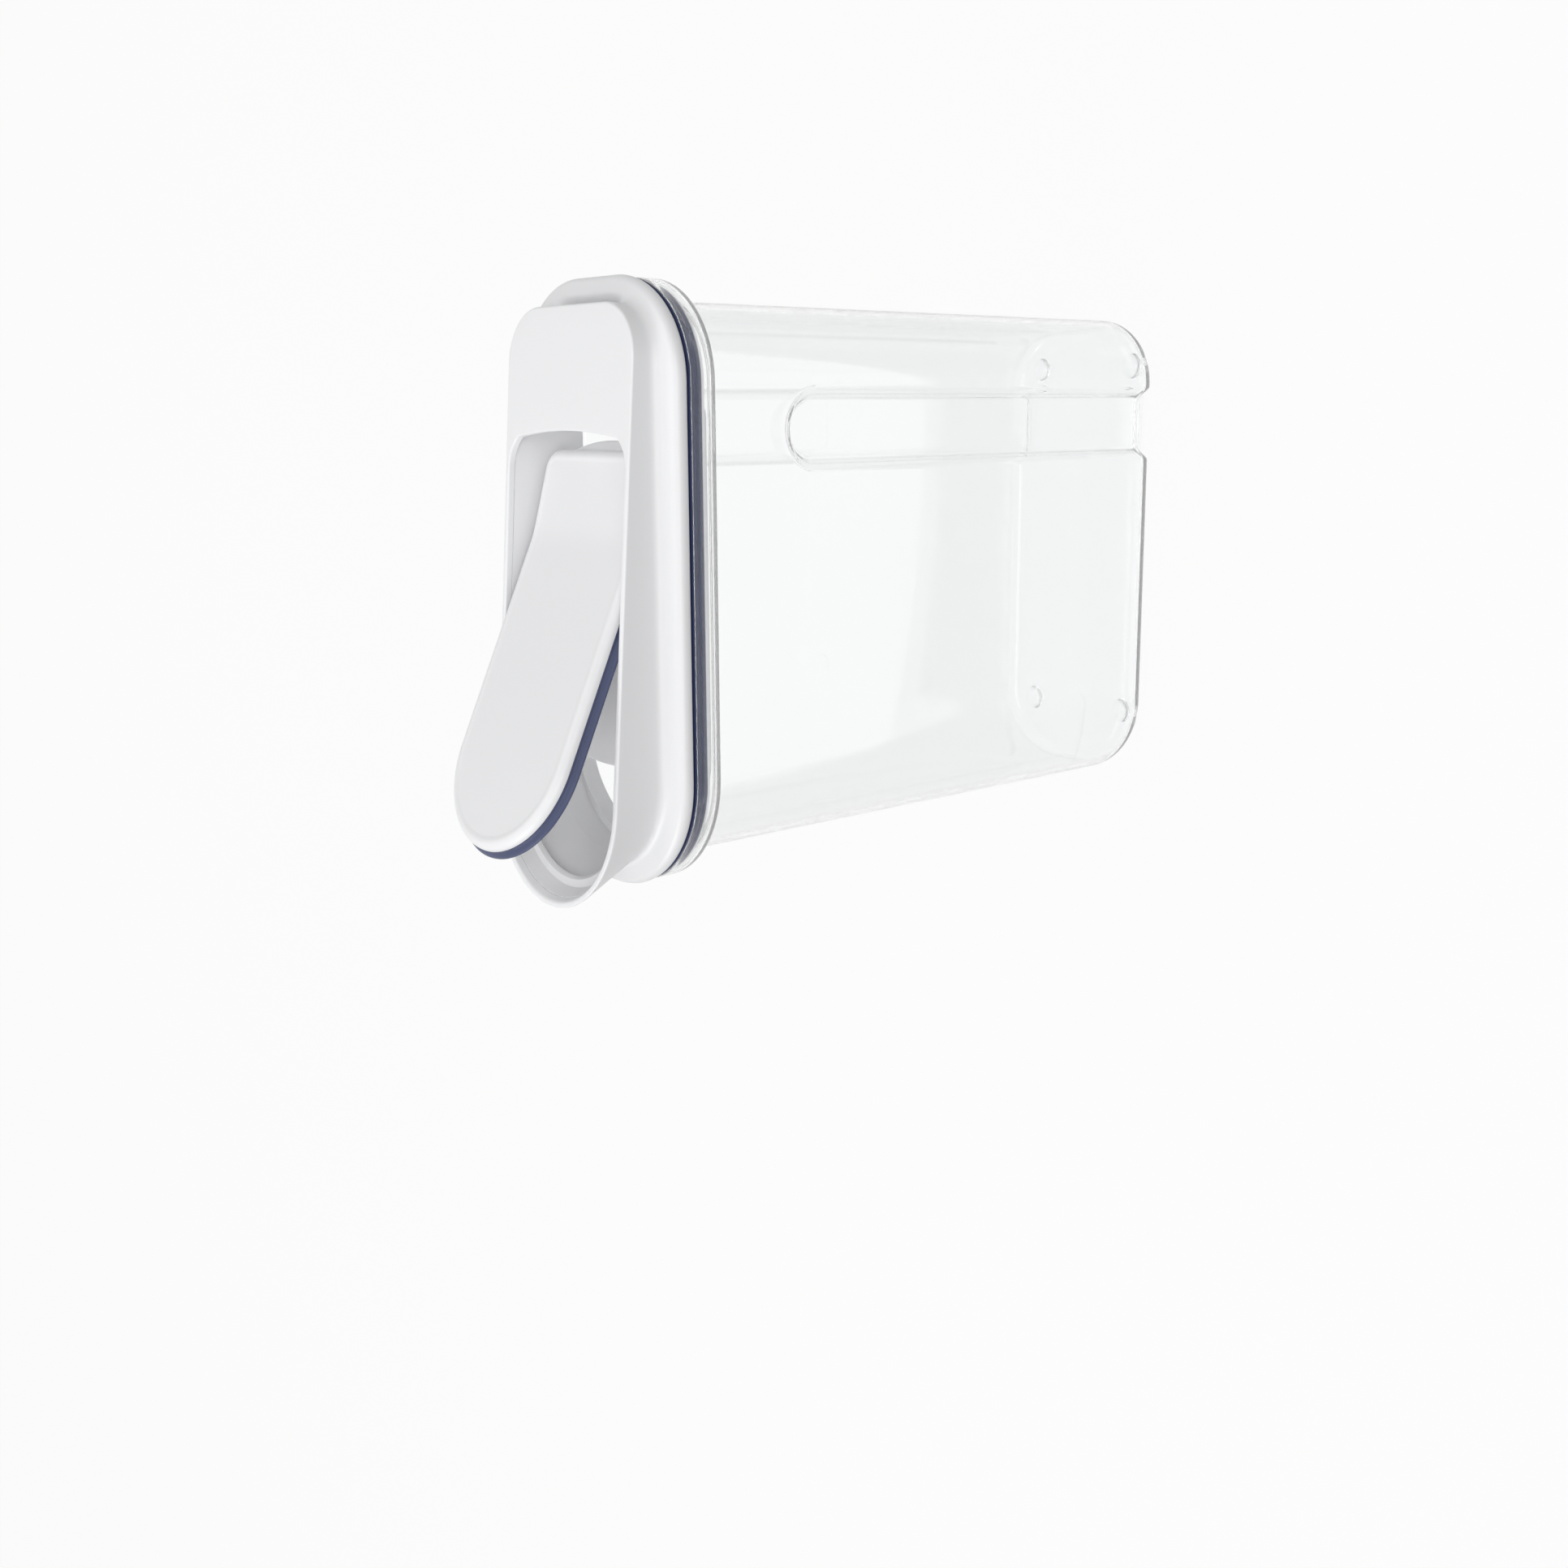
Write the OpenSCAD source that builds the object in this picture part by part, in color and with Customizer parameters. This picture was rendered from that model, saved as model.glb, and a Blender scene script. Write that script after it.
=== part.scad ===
// Cereal container with a flip spout: a clear body, a lift-off lid and a rocking cover.
// Millimetres, +Z up, origin on the resting surface below the middle of the body.
// The spout points along +X and the long sides face +Y and -Y. The pieces are drawn about
// the body's middle and then shifted, so that the origin lies below the middle of the whole.

/* [Container] */
// Length of the body along X, over its outer walls
body_l = 213; // [190:1:240]
// Width of the body along Y, over its outer walls
body_w = 85; // [82:1:100]
// Plan radius of the two back corners
back_r = 30; // [22:1:34]
// Plan radius of the two spout-end corners
front_r = 37; // [28:1:42]
// Height of the wall's top above the resting surface
shoulder_z = 256.5; // [200:0.5:300]
// How far each wall leans in from its top down to the base
taper = 1.2; // [0:0.1:3]
// Thickness of the clear walls
wall = 2.6; // [1.8:0.1:3.2]
// Thickness of the floor
floor_t = 3.2; // [2.4:0.1:5]
// Outer rounding of the base edge
base_r = 6; // [4:0.5:9]
// Height of the shoulder that flares out to the rim
shoulder_h = 8; // [6:0.5:12]
// How far the rim stands out from the wall
rim_out = 8; // [7:0.25:9]
// Thickness of the rim
rim_t = 2.3; // [1.6:0.1:3]
// Straight height of the rim above the shoulder
rim_h = 8.5; // [7:0.25:12]

/* [Grip channels] */
// Place of the channels along X
grip_x = -59; // [-65:1:-50]
// Half width of a channel and radius of its round top
grip_r = 16.5; // [12:0.5:18]
// Depth of the channel's round top below the top of the wall
grip_down = 35.5; // [25:0.5:90]
// Depth of a channel
grip_depth = 5.6; // [3:0.2:8]

/* [Feet] */
// Radius of a domed foot
foot_r = 5.5; // [4:0.25:7]
// Radius of the flat a foot rests on
foot_flat = 1.6; // [1:0.1:2.5]
// How far the feet hold the base off the surface
foot_h = 1.8; // [1.2:0.1:3]
// Distance of a foot's centre in from the long walls
foot_in_y = 15; // [12:1:24]
// Distance of the back feet in from the back wall
foot_back = 22; // [18:1:30]
// Distance of the spout-end feet in from the front wall
foot_front = 31; // [24:1:45]

/* [Lid] */
// How far the lid's edge stands out from the body's wall
lid_out = 9; // [8.5:0.25:11]
// Radius of the lid's round edge
edge_r = 3.5; // [2.6:0.1:4]
// Height of the lid's crowned deck over the middle of its edge
deck_rise = 4.5; // [4.2:0.1:7]
// Skin of the lid mouldings
skin = 2.5; // [2:0.1:3]
// Height of the skirt's foot above the rim
skirt_gap = 0.5; // [0.3:0.1:1.5]

/* [Collar] */
// How far the collar stands in from the body's long walls
collar_in = 1; // [0.5:0.25:5]
// Thickness of the collar's wall
collar_t = 2.5; // [2:0.1:3]
// How far the pad's back edge stands in from the body's back wall
pad_in = 1.5; // [0.5:0.25:6]
// Length of the pad from its back edge to the opening
pad_l = 45.6; // [40:0.2:52]
// Plan radius of the pad's back corners
pad_r = 20; // [12:1:28]
// How far the pour lip's tip juts out past the body's front wall
lip_out = 15; // [12:0.5:18]
// How far the lip's foot on the deck juts out past the body's front wall
lip_foot_out = 0; // [-1:0.25:1.5]
// Height of the collar's top over the deck at the middle of the body
collar_rise = 16.8; // [15:0.1:19]
// Slope of the collar's top up towards the spout, in degrees
collar_tilt = 4.3; // [3:0.1:5]
// Thickness of the pad
pad_t = 3; // [2.4:0.1:4]

/* [Opening] */
// Radius of the crowned back edge of the opening
mouth_crown_r = 160; // [120:5:260]
// Radius of the opening's back corners
mouth_r = 11; // [6:1:16]
// How far the duct runs back under the pad
duct_back = 6.6; // [4:0.2:9]
// Depth of the duct's skirt below the plug
duct_drop = 5.5; // [4:0.5:6]

/* [Finger recess] */
// Radius of the recess behind the pad
recess_r = 8; // [7:0.5:9]
// How far the recess reaches behind the pad's back edge
recess_out = 3.5; // [2:0.5:5]
// Depth of the recess's axis below the pad
recess_drop = 0.8; // [0.5:0.1:1.5]
// Skin of the recess's bowl
recess_skin = 2; // [1.4:0.1:2.2]
// Half length of the recess's straight part
recess_half = 20; // [12:1:24]

/* [Flip cover] */
// How far the cover's sides stand in from the collar's
cover_in = 5; // [4:0.25:7]
// How far the shut cover's tip stands back from the lip's
cover_back = 13.6; // [13:0.2:18]
// Distance of the bend behind the hinge
bend_back = 22; // [18:1:28]
// Air between the tab and the back of the opening
tab_gap = 9.8; // [9:0.2:14]
// Bend of the press tab, in degrees
tab_bend = 9; // [5:0.5:10]
// Radius of the bend between the front and the tab
bend_r = 60; // [20:5:90]
// Radius of the press tab's back corners
tab_r = 8; // [5:1:12]
// Height of the cover's top over the hinge
cover_top = 15; // [13:0.5:17]
// Depth of the cover's side wall
cover_side = 3.8; // [3.6:0.1:5]
// Radius of the rolled edge
roll_r = 3.5; // [2.5:0.1:3.6]
// Skin of the cover
cover_skin = 2; // [1.5:0.1:2.5]
// Radius of the flange that fills the back of the opening
flange_r = 30; // [26:1:34]
// How far the flange stands out behind the press tab
flange_out = 4.6; // [3:0.2:5]
// Depth of the flange below the press tab's top
flange_drop = 5; // [4:0.5:7]
// How far the cover stands open in this pose, in degrees
open_angle = 20; // [0:1:20]

/* [Hinge] */
// Place of the hinge along X
hinge_x = 6.4; // [4:0.2:12]
// Radius of a hinge pin
pin_r = 2; // [1.5:0.1:2.5]
// Radial running clearance between pin and ear
pin_clear = 0.06; // [0.03:0.01:0.09]
// Thickness of an ear
ear_t = 3.6; // [2.6:0.1:4.4]
// Outer radius of an ear
ear_r = 4.2; // [3.6:0.1:4.6]

/* [Gaskets] */
// Radial thickness of the lid gasket
gasket_t = 2.2; // [1.6:0.1:3]
// Height of the lid gasket
gasket_h = 6.6; // [5:0.2:7.4]
// Height of the cover gasket's band
cover_gasket_h = 2.8; // [2.4:0.1:3.6]
// How far the cover gasket's lip stands out past the cover
cover_gasket_lip = 1.3; // [0.6:0.1:1.8]

/* [Pour guide] */
// Front edge of the guide from the hinge
guide_front = 59.6; // [50:0.2:64]
// Back edge of the guide from the hinge
guide_back = 11.6; // [10:0.2:24]
// Plan radius of the guide's round front
guide_r = 44; // [40:1:60]
// Height of the guide's middle below the hinge
guide_drop = 4; // [3:0.5:6]
// Radius of the guide's hollow across the duct
guide_hollow_r = 200; // [160:10:400]
// Thickness of the guide
guide_t = 1.8; // [1.4:0.1:2.4]

/* [Hidden] */
$fn = 96;

white = "#ececee";
navy = "#4a5273";
clear = "#dfe8ea";
steel = "#c9ccd0";

tiny = 0.01;             // overlap that joins solids of one piece
seat = 0.3;              // air between parts that close on each other
fit = 0.05;              // air where a soft part meets its seat
far = 400;               // larger than the object, for half spaces

// plan lengths
lip_x = body_l / 2 + lip_out;
lip_foot_x = body_l / 2 + lip_foot_out;
mid_x = (lip_out - lid_out) / 2;         // middle of the whole from the body's middle
pad_back_x = -body_l / 2 + pad_in;
mouth_back_x = pad_back_x + pad_l;
collar_hw = body_w / 2 - collar_in;
cover_hw = collar_hw - cover_in;
cover_tip = lip_x - hinge_x - cover_back;
tab_l = hinge_x - mouth_back_x - bend_back - tab_gap;
guide_x = hinge_x + guide_front;
guide_back_x = hinge_x + guide_back;

// container heights
base_z = foot_h;
cove_r = max(base_r - wall, 1);
rim_low_z = shoulder_z + shoulder_h;
rim_z = rim_low_z + rim_h;
grip_top_z = shoulder_z - grip_down;

// lid heights
skirt_z = rim_z + skirt_gap;
edge_z = skirt_z + edge_r;
lid_top_z = edge_z + deck_rise;
collar_mid_z = lid_top_z + collar_rise;
edge_in = lid_out - edge_r;              // from the body's wall to the middle of the edge
crown_r = (edge_in * edge_in + deck_rise * deck_rise - edge_r * edge_r)
    / (2 * (deck_rise - edge_r));        // radius of the deck that runs into the edge
lip_foot_z = lid_top_z - skin;
foot_arc = lip_foot_x - collar_hw;       // centre of the round front at the lip's foot
lip_arc = lip_x - collar_hw;             // centre of the round front at the lip's tip

// lid gasket and plug, as offsets from the body's outer wall
rim_in = rim_out - rim_t;
gasket_out = rim_in - seat;
gasket_in = gasket_out - gasket_t;
gasket_top_z = skirt_z - tiny;
gasket_low_z = gasket_top_z - gasket_h;
plug_flange = 1.6;
plug_low_z = gasket_low_z - plug_flange;
plug_top_z = plug_low_z + skin;
duct_low_z = plug_low_z - duct_drop;
plug_rim_z = skirt_z + 0.5;
skirt_arc = body_l / 2 - wall - 1.5 - collar_hw; // centre of the skirt's round front
// centre of the duct's round front, which stays clear of the plug's rim
duct_arc = min(foot_arc, body_l / 2 + gasket_in - skin - seat - collar_hw);

// hinge: on the line that keeps the cover's top in the collar's plane when it is shut
function collar_z(x) = collar_mid_z + x * tan(collar_tilt);
cover_sink = 0.6;
hinge_z = collar_z(hinge_x) - (cover_top + cover_sink) / cos(collar_tilt);
duct_hw = collar_hw - collar_t;
recess_x = pad_back_x + recess_r - recess_out;
pad_hollow_x = recess_x + recess_r + recess_skin; // back end of the hollow under the pad
duct_x = mouth_back_x - duct_back;
ear_out = duct_hw - 0.4;
side_w = cover_top - cover_side;         // foot of the cover's side wall, over the hinge
band_w = side_w - cover_gasket_h;        // foot of the cover gasket
strip_t = 0.7;                           // edge of the cover plate that shows below the gasket
plate_w = band_w - strip_t;
cover_arc = cover_tip - cover_hw;        // centre of the cover's round tip
tab_wall = cover_top + tab_l * sin(tab_bend) - side_w + 2; // reaches below the cover gasket's top
rear_x = -bend_back - tab_l * cos(tab_bend)
    - (cover_top + tab_l * sin(tab_bend) - side_w) * tan(tab_bend); // foot of the back wall
recess_flat = 2;                         // radius of the flat on the recess's ends
deck_lap = 1;                            // flat rim of the deck inside the round edge
hair = 0.05;                             // step between pieces that are joined at an angle
tab_hw = cover_hw - hair;
bend_end = bend_r * tan(tab_bend / 2);   // from the bend's corner to its tangent points
roll_flat = 0.6;                         // flat inside the rolled edge
plate_t = 1;                             // thickness added inside the rib of the cover plate
band_t = 3.8;                            // radial thickness of the cover gasket
rib_t = 1.8;                             // rib of the cover plate inside the gasket
strip_in = 0.8;                          // how far the plate's edge stands in from the cover's side
seal_x = ear_r + 3;                      // where the ledge and the gasket's lip start, off the hinge
ledge_t = 2;
ledge_in = 3;
pin_past = 0.4;                          // how far a pin reaches past its ear
socket_skin = 0.5;                       // collar wall left outside a pin's socket

// ---------- helpers ----------

// Carries a profile (x outward from the body's wall, y up) round the body's plan.
module loop() {
    for (side = [0, 1]) mirror([0, side, 0]) {
        translate([body_l / 2 - front_r, body_w / 2 - front_r, 0])
            rotate_extrude(angle = 90) translate([front_r, 0]) children();
        translate([-body_l / 2 + back_r, body_w / 2 - back_r, 0])
            rotate([0, 0, 90]) rotate_extrude(angle = 90) translate([back_r, 0]) children();
        translate([-body_l / 2 + back_r, body_w / 2, 0])
            rotate([90, 0, 90]) linear_extrude(body_l - back_r - front_r) children();
    }
    translate([body_l / 2, body_w / 2 - front_r, 0])
        rotate([90, 0, 0]) linear_extrude(body_w - 2 * front_r) children();
    mirror([1, 0, 0]) translate([body_l / 2, body_w / 2 - back_r, 0])
        rotate([90, 0, 0]) linear_extrude(body_w - 2 * back_r) children();
}

// Plan of the body moved out by d (in when d is negative).
module body_plan(d) {
    for (side = [-1, 1]) {
        translate([body_l / 2 - front_r, side * (body_w / 2 - front_r)]) circle(front_r + d);
        translate([-body_l / 2 + back_r, side * (body_w / 2 - back_r)]) circle(back_r + d);
    }
    translate([-body_l / 2 + back_r, -body_w / 2 - d])
        square([body_l - back_r - front_r, body_w + 2 * d]);
    translate([-body_l / 2 - d, -body_w / 2 + back_r])
        square([body_l / 2 + d, body_w - 2 * back_r]);
    translate([0, -body_w / 2 + front_r]) square([body_l / 2 + d, body_w - 2 * front_r]);
}

// Quarter disc in the quadrant given by signs sx and sy.
module quarter(r, sx, sy) {
    intersection() {
        circle(r);
        translate([sx > 0 ? 0 : -r, sy > 0 ? 0 : -r]) square(r);
    }
}

// Everything below the collar's sloping top, lowered by d.
module below_collar(d) {
    translate([0, 0, collar_mid_z - d / cos(collar_tilt)]) rotate([0, -collar_tilt, 0])
        translate([-far, -far, -far]) cube([2 * far, 2 * far, far]);
}

// Plan of a channel with a round front: centre of the front at cx, half width hw, back at x0.
module channel_plan(x0, cx, hw) {
    translate([cx, 0]) circle(hw);
    translate([x0, -hw]) square([cx - x0, 2 * hw]);
}

// Pour lip moved in by d: its round front leans out from the deck to the tip.
module lip_solid(d) {
    over = 0.1;
    hull() {
        translate([0, 0, lip_foot_z]) linear_extrude(tiny)
            channel_plan(0, foot_arc, collar_hw - d, $fn = 64);
        translate([0, 0, collar_z(lip_x) + over * (collar_z(lip_x) - lip_foot_z)])
            linear_extrude(tiny)
                channel_plan(0, lip_arc + over * (lip_arc - foot_arc), collar_hw - d, $fn = 64);
    }
}

// Plan of the collar moved in by d.
module collar_plan(d) {
    channel_plan(pad_back_x + pad_r, foot_arc, collar_hw - d);
    for (side = [-1, 1])
        translate([pad_back_x + pad_r, side * (collar_hw - pad_r)]) circle(pad_r - d);
    translate([pad_back_x + d, -collar_hw + pad_r]) square([pad_r, 2 * (collar_hw - pad_r)]);
}

// Plan of the opening in the pad: crowned back edge with round corners.
module mouth_plan() {
    intersection() {
        translate([mouth_back_x + mouth_crown_r, 0]) circle(mouth_crown_r, $fn = 360);
        union() {
            translate([mouth_back_x + mouth_r, -duct_hw])
                square([-mouth_back_x - mouth_r + tiny, 2 * duct_hw]);
            translate([mouth_back_x, -duct_hw + mouth_r])
                square([mouth_r + tiny, 2 * (duct_hw - mouth_r)]);
            for (side = [-1, 1])
                translate([mouth_back_x + mouth_r, side * (duct_hw - mouth_r)]) circle(mouth_r);
        }
    }
}

// ---------- container ----------

// Outer face of the body down to the base, filled to the given depth, as a profile.
module body_profile(deep) {
    translate([-base_r - taper, base_z + base_r]) quarter(base_r, 1, -1);
    translate([-deep, base_z]) square([deep - base_r - taper + tiny, base_r + tiny]);
    polygon([[-deep, base_z + base_r], [-taper, base_z + base_r], [0, shoulder_z],
             [-deep, shoulder_z]]);
}

// Wall from the floor's edge to the rim, as a profile.
module wall_profile() {
    s = shoulder_h / 2;
    cove_z = base_z + floor_t + cove_r;
    difference() {
        union() {
            body_profile(base_r + taper);
            translate([-wall, shoulder_z - tiny])
                polygon([[0, 0], [wall, 0], [rim_out, shoulder_h - s], [rim_out + wall, shoulder_h],
                         [rim_out + wall, shoulder_h + 1], [0, shoulder_h + 1]]);
            translate([-wall, rim_low_z]) square([rim_out + wall, rim_h]);
        }
        translate([-base_r - taper, cove_z]) quarter(cove_r, 1, -1);
        polygon([[-far, cove_z], [-taper - wall, cove_z], [-wall, shoulder_z], [-wall, far],
                 [-far, far]]);
        polygon([[-wall - tiny, shoulder_z], [-wall - tiny, far], [rim_in, far],
                 [rim_in, shoulder_z + shoulder_h - s + rim_t], [-wall, shoulder_z + rim_t / 3]]);
    }
}

// Prism of a grip channel seen along Y, grown by d.
module grip_prism(d, deep) {
    translate([grip_x, body_w / 2 - deep, grip_top_z - grip_r]) rotate([-90, 0, 0])
        linear_extrude(far) {
            circle(grip_r + d);
            translate([-grip_r - d, 0]) square([2 * (grip_r + d), far]);
        }
}

module container() {
    color(clear, 0.4) difference() {
        union() {
            loop() wall_profile();
            translate([0, 0, base_z]) linear_extrude(floor_t) body_plan(-base_r - taper + tiny);
            for (side = [0, 1]) mirror([0, side, 0]) intersection() {
                grip_prism(wall, grip_depth + wall);
                loop() body_profile(grip_depth + wall + 1);
            }
        }
        for (side = [0, 1]) mirror([0, side, 0]) grip_prism(0, grip_depth);
    }
}

module foot_pads() {
    dome_r = (foot_r * foot_r - foot_flat * foot_flat + foot_h * foot_h) / (2 * foot_h);
    sphere_r = sqrt(dome_r * dome_r + foot_flat * foot_flat);
    color(clear, 0.6)
        for (side = [-1, 1], x = [-body_l / 2 + foot_back, body_l / 2 - foot_front])
            translate([x, side * (body_w / 2 - foot_in_y), 0]) intersection() {
                translate([0, 0, dome_r]) sphere(sphere_r);
                cylinder(r = foot_r, h = foot_h);
            }
}

// ---------- lid ----------

// Crowned deck and round edge of the lid moved in by d, above the edge's middle, as a profile.
module edge_solid(d) {
    crown_z = lid_top_z - crown_r;
    reach = far / crown_r;
    translate([edge_in, edge_z]) quarter(edge_r - d, 1, 1);
    intersection() {
        translate([0, crown_z]) circle(crown_r - d, $fn = 360);
        polygon([[0, edge_z], [0, far + edge_z],
                 [reach * edge_in, crown_z + reach * (edge_z - crown_z)], [edge_in, edge_z]]);
    }
}

// Round edge of the lid shell, hollow inside, with the rim of the deck, as a profile.
module edge_profile() {
    difference() {
        union() {
            edge_solid(0);
            translate([edge_in, edge_z]) quarter(edge_r, 1, -1);
            translate([-deck_lap, lid_top_z - skin]) square([deck_lap, skin]);
        }
        edge_solid(skin);
    }
}

// Capsule behind the pad: radius r, lying along Y.
module recess(r) {
    translate([recess_x, 0, collar_z(pad_back_x) - pad_t - recess_drop]) rotate([90, 0, 0])
        rotate_extrude() {
            translate([0, -recess_half]) square([r, 2 * recess_half]);
            translate([0, -recess_half - r + recess_flat])
                square([recess_flat, 2 * (recess_half + r - recess_flat)]);
            for (side = [-1, 1]) translate([recess_flat, side * recess_half])
                quarter(r - recess_flat, 1, side);
        }
}

module lid_shell() {
    color(white) difference() {
        union() {
            loop() edge_profile();
            translate([0, 0, lid_top_z - skin]) linear_extrude(skin) body_plan(-deck_lap / 2);
            // collar, pad and pour lip
            intersection() {
                union() {
                    translate([0, 0, lip_foot_z]) linear_extrude(far) collar_plan(0);
                    lip_solid(0);
                }
                below_collar(0);
            }
            // duct wall under the deck
            translate([0, 0, plug_top_z]) linear_extrude(lid_top_z - skin / 2 - plug_top_z)
                channel_plan(duct_x - collar_t, duct_arc, collar_hw);
            // bowl of the finger recess
            intersection() {
                recess(recess_r + recess_skin);
                translate([0, 0, plug_top_z + seat])
                    linear_extrude(lid_top_z - skin / 2 - plug_top_z - seat) body_plan(gasket_out);
            }
        }
        // opening through the pad, pour lip and the duct below them
        translate([0, 0, plug_low_z]) linear_extrude(far) mouth_plan();
        lip_solid(collar_t);
        translate([0, 0, plug_low_z]) linear_extrude(lip_foot_z + tiny - plug_low_z)
            channel_plan(duct_x, duct_arc, duct_hw);
        intersection() {
            translate([0, 0, plug_low_z]) linear_extrude(far)
                channel_plan(duct_x, 0, duct_hw);
            below_collar(pad_t);
        }
        // hollow underside of the pad
        intersection() {
            translate([0, 0, plug_low_z]) linear_extrude(far) intersection() {
                collar_plan(collar_t);
                translate([pad_hollow_x, -far / 2])
                    square([duct_x - collar_t - pad_hollow_x, far]);
            }
            below_collar(pad_t);
        }
        // finger recess, never into the pad
        intersection() {
            recess(recess_r);
            below_collar(pad_t);
        }
        // sockets of the hinge pins
        translate([hinge_x, 0, hinge_z]) rotate([90, 0, 0])
            cylinder(r = pin_r + tiny, h = 2 * (collar_hw - socket_skin), center = true);
    }
    // seat ledge of the cover gasket, in front of the hinge
    color(white) intersection() {
        translate([hinge_x, 0, hinge_z]) rotate([0, -collar_tilt, 0])
            translate([seal_x, -far / 2, plate_w - seat - ledge_t]) cube([far, far, ledge_t]);
        difference() {
            union() {
                lip_solid(collar_t - tiny);
                translate([0, 0, plug_top_z]) linear_extrude(lip_foot_z + tiny - plug_top_z)
                    channel_plan(0, foot_arc, duct_hw + tiny);
            }
            translate([0, 0, plug_low_z]) linear_extrude(far)
                channel_plan(-1, foot_arc, duct_hw - ledge_in);
        }
    }
}

module lid_plug() {
    color(white) difference() {
        union() {
            // rim that carries the gasket, and the plate inside it
            loop() {
                translate([gasket_in - skin, plug_low_z])
                    square([skin - fit, plug_rim_z - plug_low_z]);
                translate([gasket_in - skin, plug_low_z])
                    square([gasket_t + skin - 2 * seat, plug_flange - fit]);
            }
            translate([0, 0, plug_low_z]) linear_extrude(skin) body_plan(gasket_in - skin + tiny);
            // skirt of the duct
            translate([0, 0, duct_low_z]) linear_extrude(duct_drop + skin)
                channel_plan(duct_x - collar_t, skirt_arc, collar_hw);
        }
        translate([0, 0, duct_low_z - 1]) linear_extrude(far)
            channel_plan(duct_x, skirt_arc, duct_hw);
    }
}

// Hollow plate between the duct's sides, with cheeks that stand on snap buttons.
module pour_guide() {
    guide_z = hinge_z - guide_drop;
    guide_hw = duct_hw - seat;
    cheek_low_z = duct_low_z + 1;
    button_r = 1.6;
    button_in = 5;
    color(white) {
        intersection() {
            translate([0, 0, duct_low_z]) linear_extrude(hinge_z + 2 - duct_low_z)
                intersection() {
                    translate([guide_x - guide_r, 0]) circle(guide_r);
                    translate([guide_back_x, -guide_hw])
                        square([guide_x - guide_back_x, 2 * guide_hw]);
                }
            translate([0, 0, guide_z + guide_hollow_r]) rotate([0, 90, 0]) difference() {
                cylinder(r = guide_hollow_r + guide_t, h = far, center = true);
                cylinder(r = guide_hollow_r, h = far + 1, center = true);
            }
        }
        for (side = [-1, 1]) {
            translate([guide_back_x, side * (guide_hw - guide_t / 2), cheek_low_z])
                translate([0, -guide_t / 2, 0])
                    cube([guide_r - guide_back_x, guide_t, hinge_z - cheek_low_z]);
            for (x = [guide_back_x + button_in, guide_r - button_in])
                translate([x, side * (guide_hw - tiny), (plug_low_z + plug_top_z) / 2])
                    rotate([side * -90, 0, 0]) cylinder(r = button_r, h = seat - tiny);
        }
    }
}

module lid_gasket() {
    bead = 0.6;
    color(navy) loop() {
        translate([gasket_in, gasket_low_z]) square([gasket_t - bead, gasket_h - 2 * fit]);
        for (k = [0 : 2])
            translate([gasket_out - bead, gasket_low_z + gasket_h * (2 * k + 1) / 6 - bead])
                square([bead, 2 * bead]);
    }
}

// ---------- flip cover ----------

// Puts a part drawn on the hinge, in the shut cover's plane, at the cover's pose.
module on_cover() {
    translate([hinge_x, 0, hinge_z]) rotate([0, -collar_tilt - open_angle, 0]) children();
}

// Puts a part in the plane of the press tab, with its origin on the bend.
module on_tab() {
    translate([-bend_back, 0, cover_top]) rotate([0, tab_bend, 0]) children();
}

// Round end of the cover's top, inside the rolled edge.
module tip_plan() {
    channel_plan(cover_arc - 1, cover_arc, cover_hw - roll_r - roll_flat / 2);
}

// Back end of the press tab's top, inside the rolled edge, in the plane of the tab.
module tab_plan() {
    d = roll_r + roll_flat / 2;
    translate([-tab_l + tab_r, -tab_hw + d]) square([1, 2 * (tab_hw - d)]);
    translate([-tab_l + d, -tab_hw + tab_r]) square([tab_r - d, 2 * (tab_hw - tab_r)]);
    for (side = [-1, 1]) translate([-tab_l + tab_r, side * (tab_hw - tab_r)]) circle(tab_r - d);
}

// Section of a rolled edge: outer face at x = 0, top at y = 0, foot at y = -h.
module roll_profile(h, t) {
    difference() {
        union() {
            translate([-roll_r, -roll_r]) quarter(roll_r, 1, 1);
            translate([-roll_r, -h]) square([roll_r, h - roll_r + tiny]);
            translate([-roll_r - roll_flat, -t]) square([roll_flat + tiny, t]);
        }
        translate([-roll_r, -roll_r]) quarter(roll_r - t, 1, 1);
        translate([-roll_r - tiny, -h - 1]) square([roll_r - t + tiny, h + 1 - roll_r + tiny]);
    }
}

// Section across the cover of half width hw: top plate, rolled edges and side walls.
module cover_section(hw) {
    for (side = [0, 1]) mirror([side, 0])
        translate([hw, 0]) roll_profile(tab_wall, cover_skin);
    translate([-hw + roll_r, -cover_skin]) square([2 * (hw - roll_r), cover_skin]);
}

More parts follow.
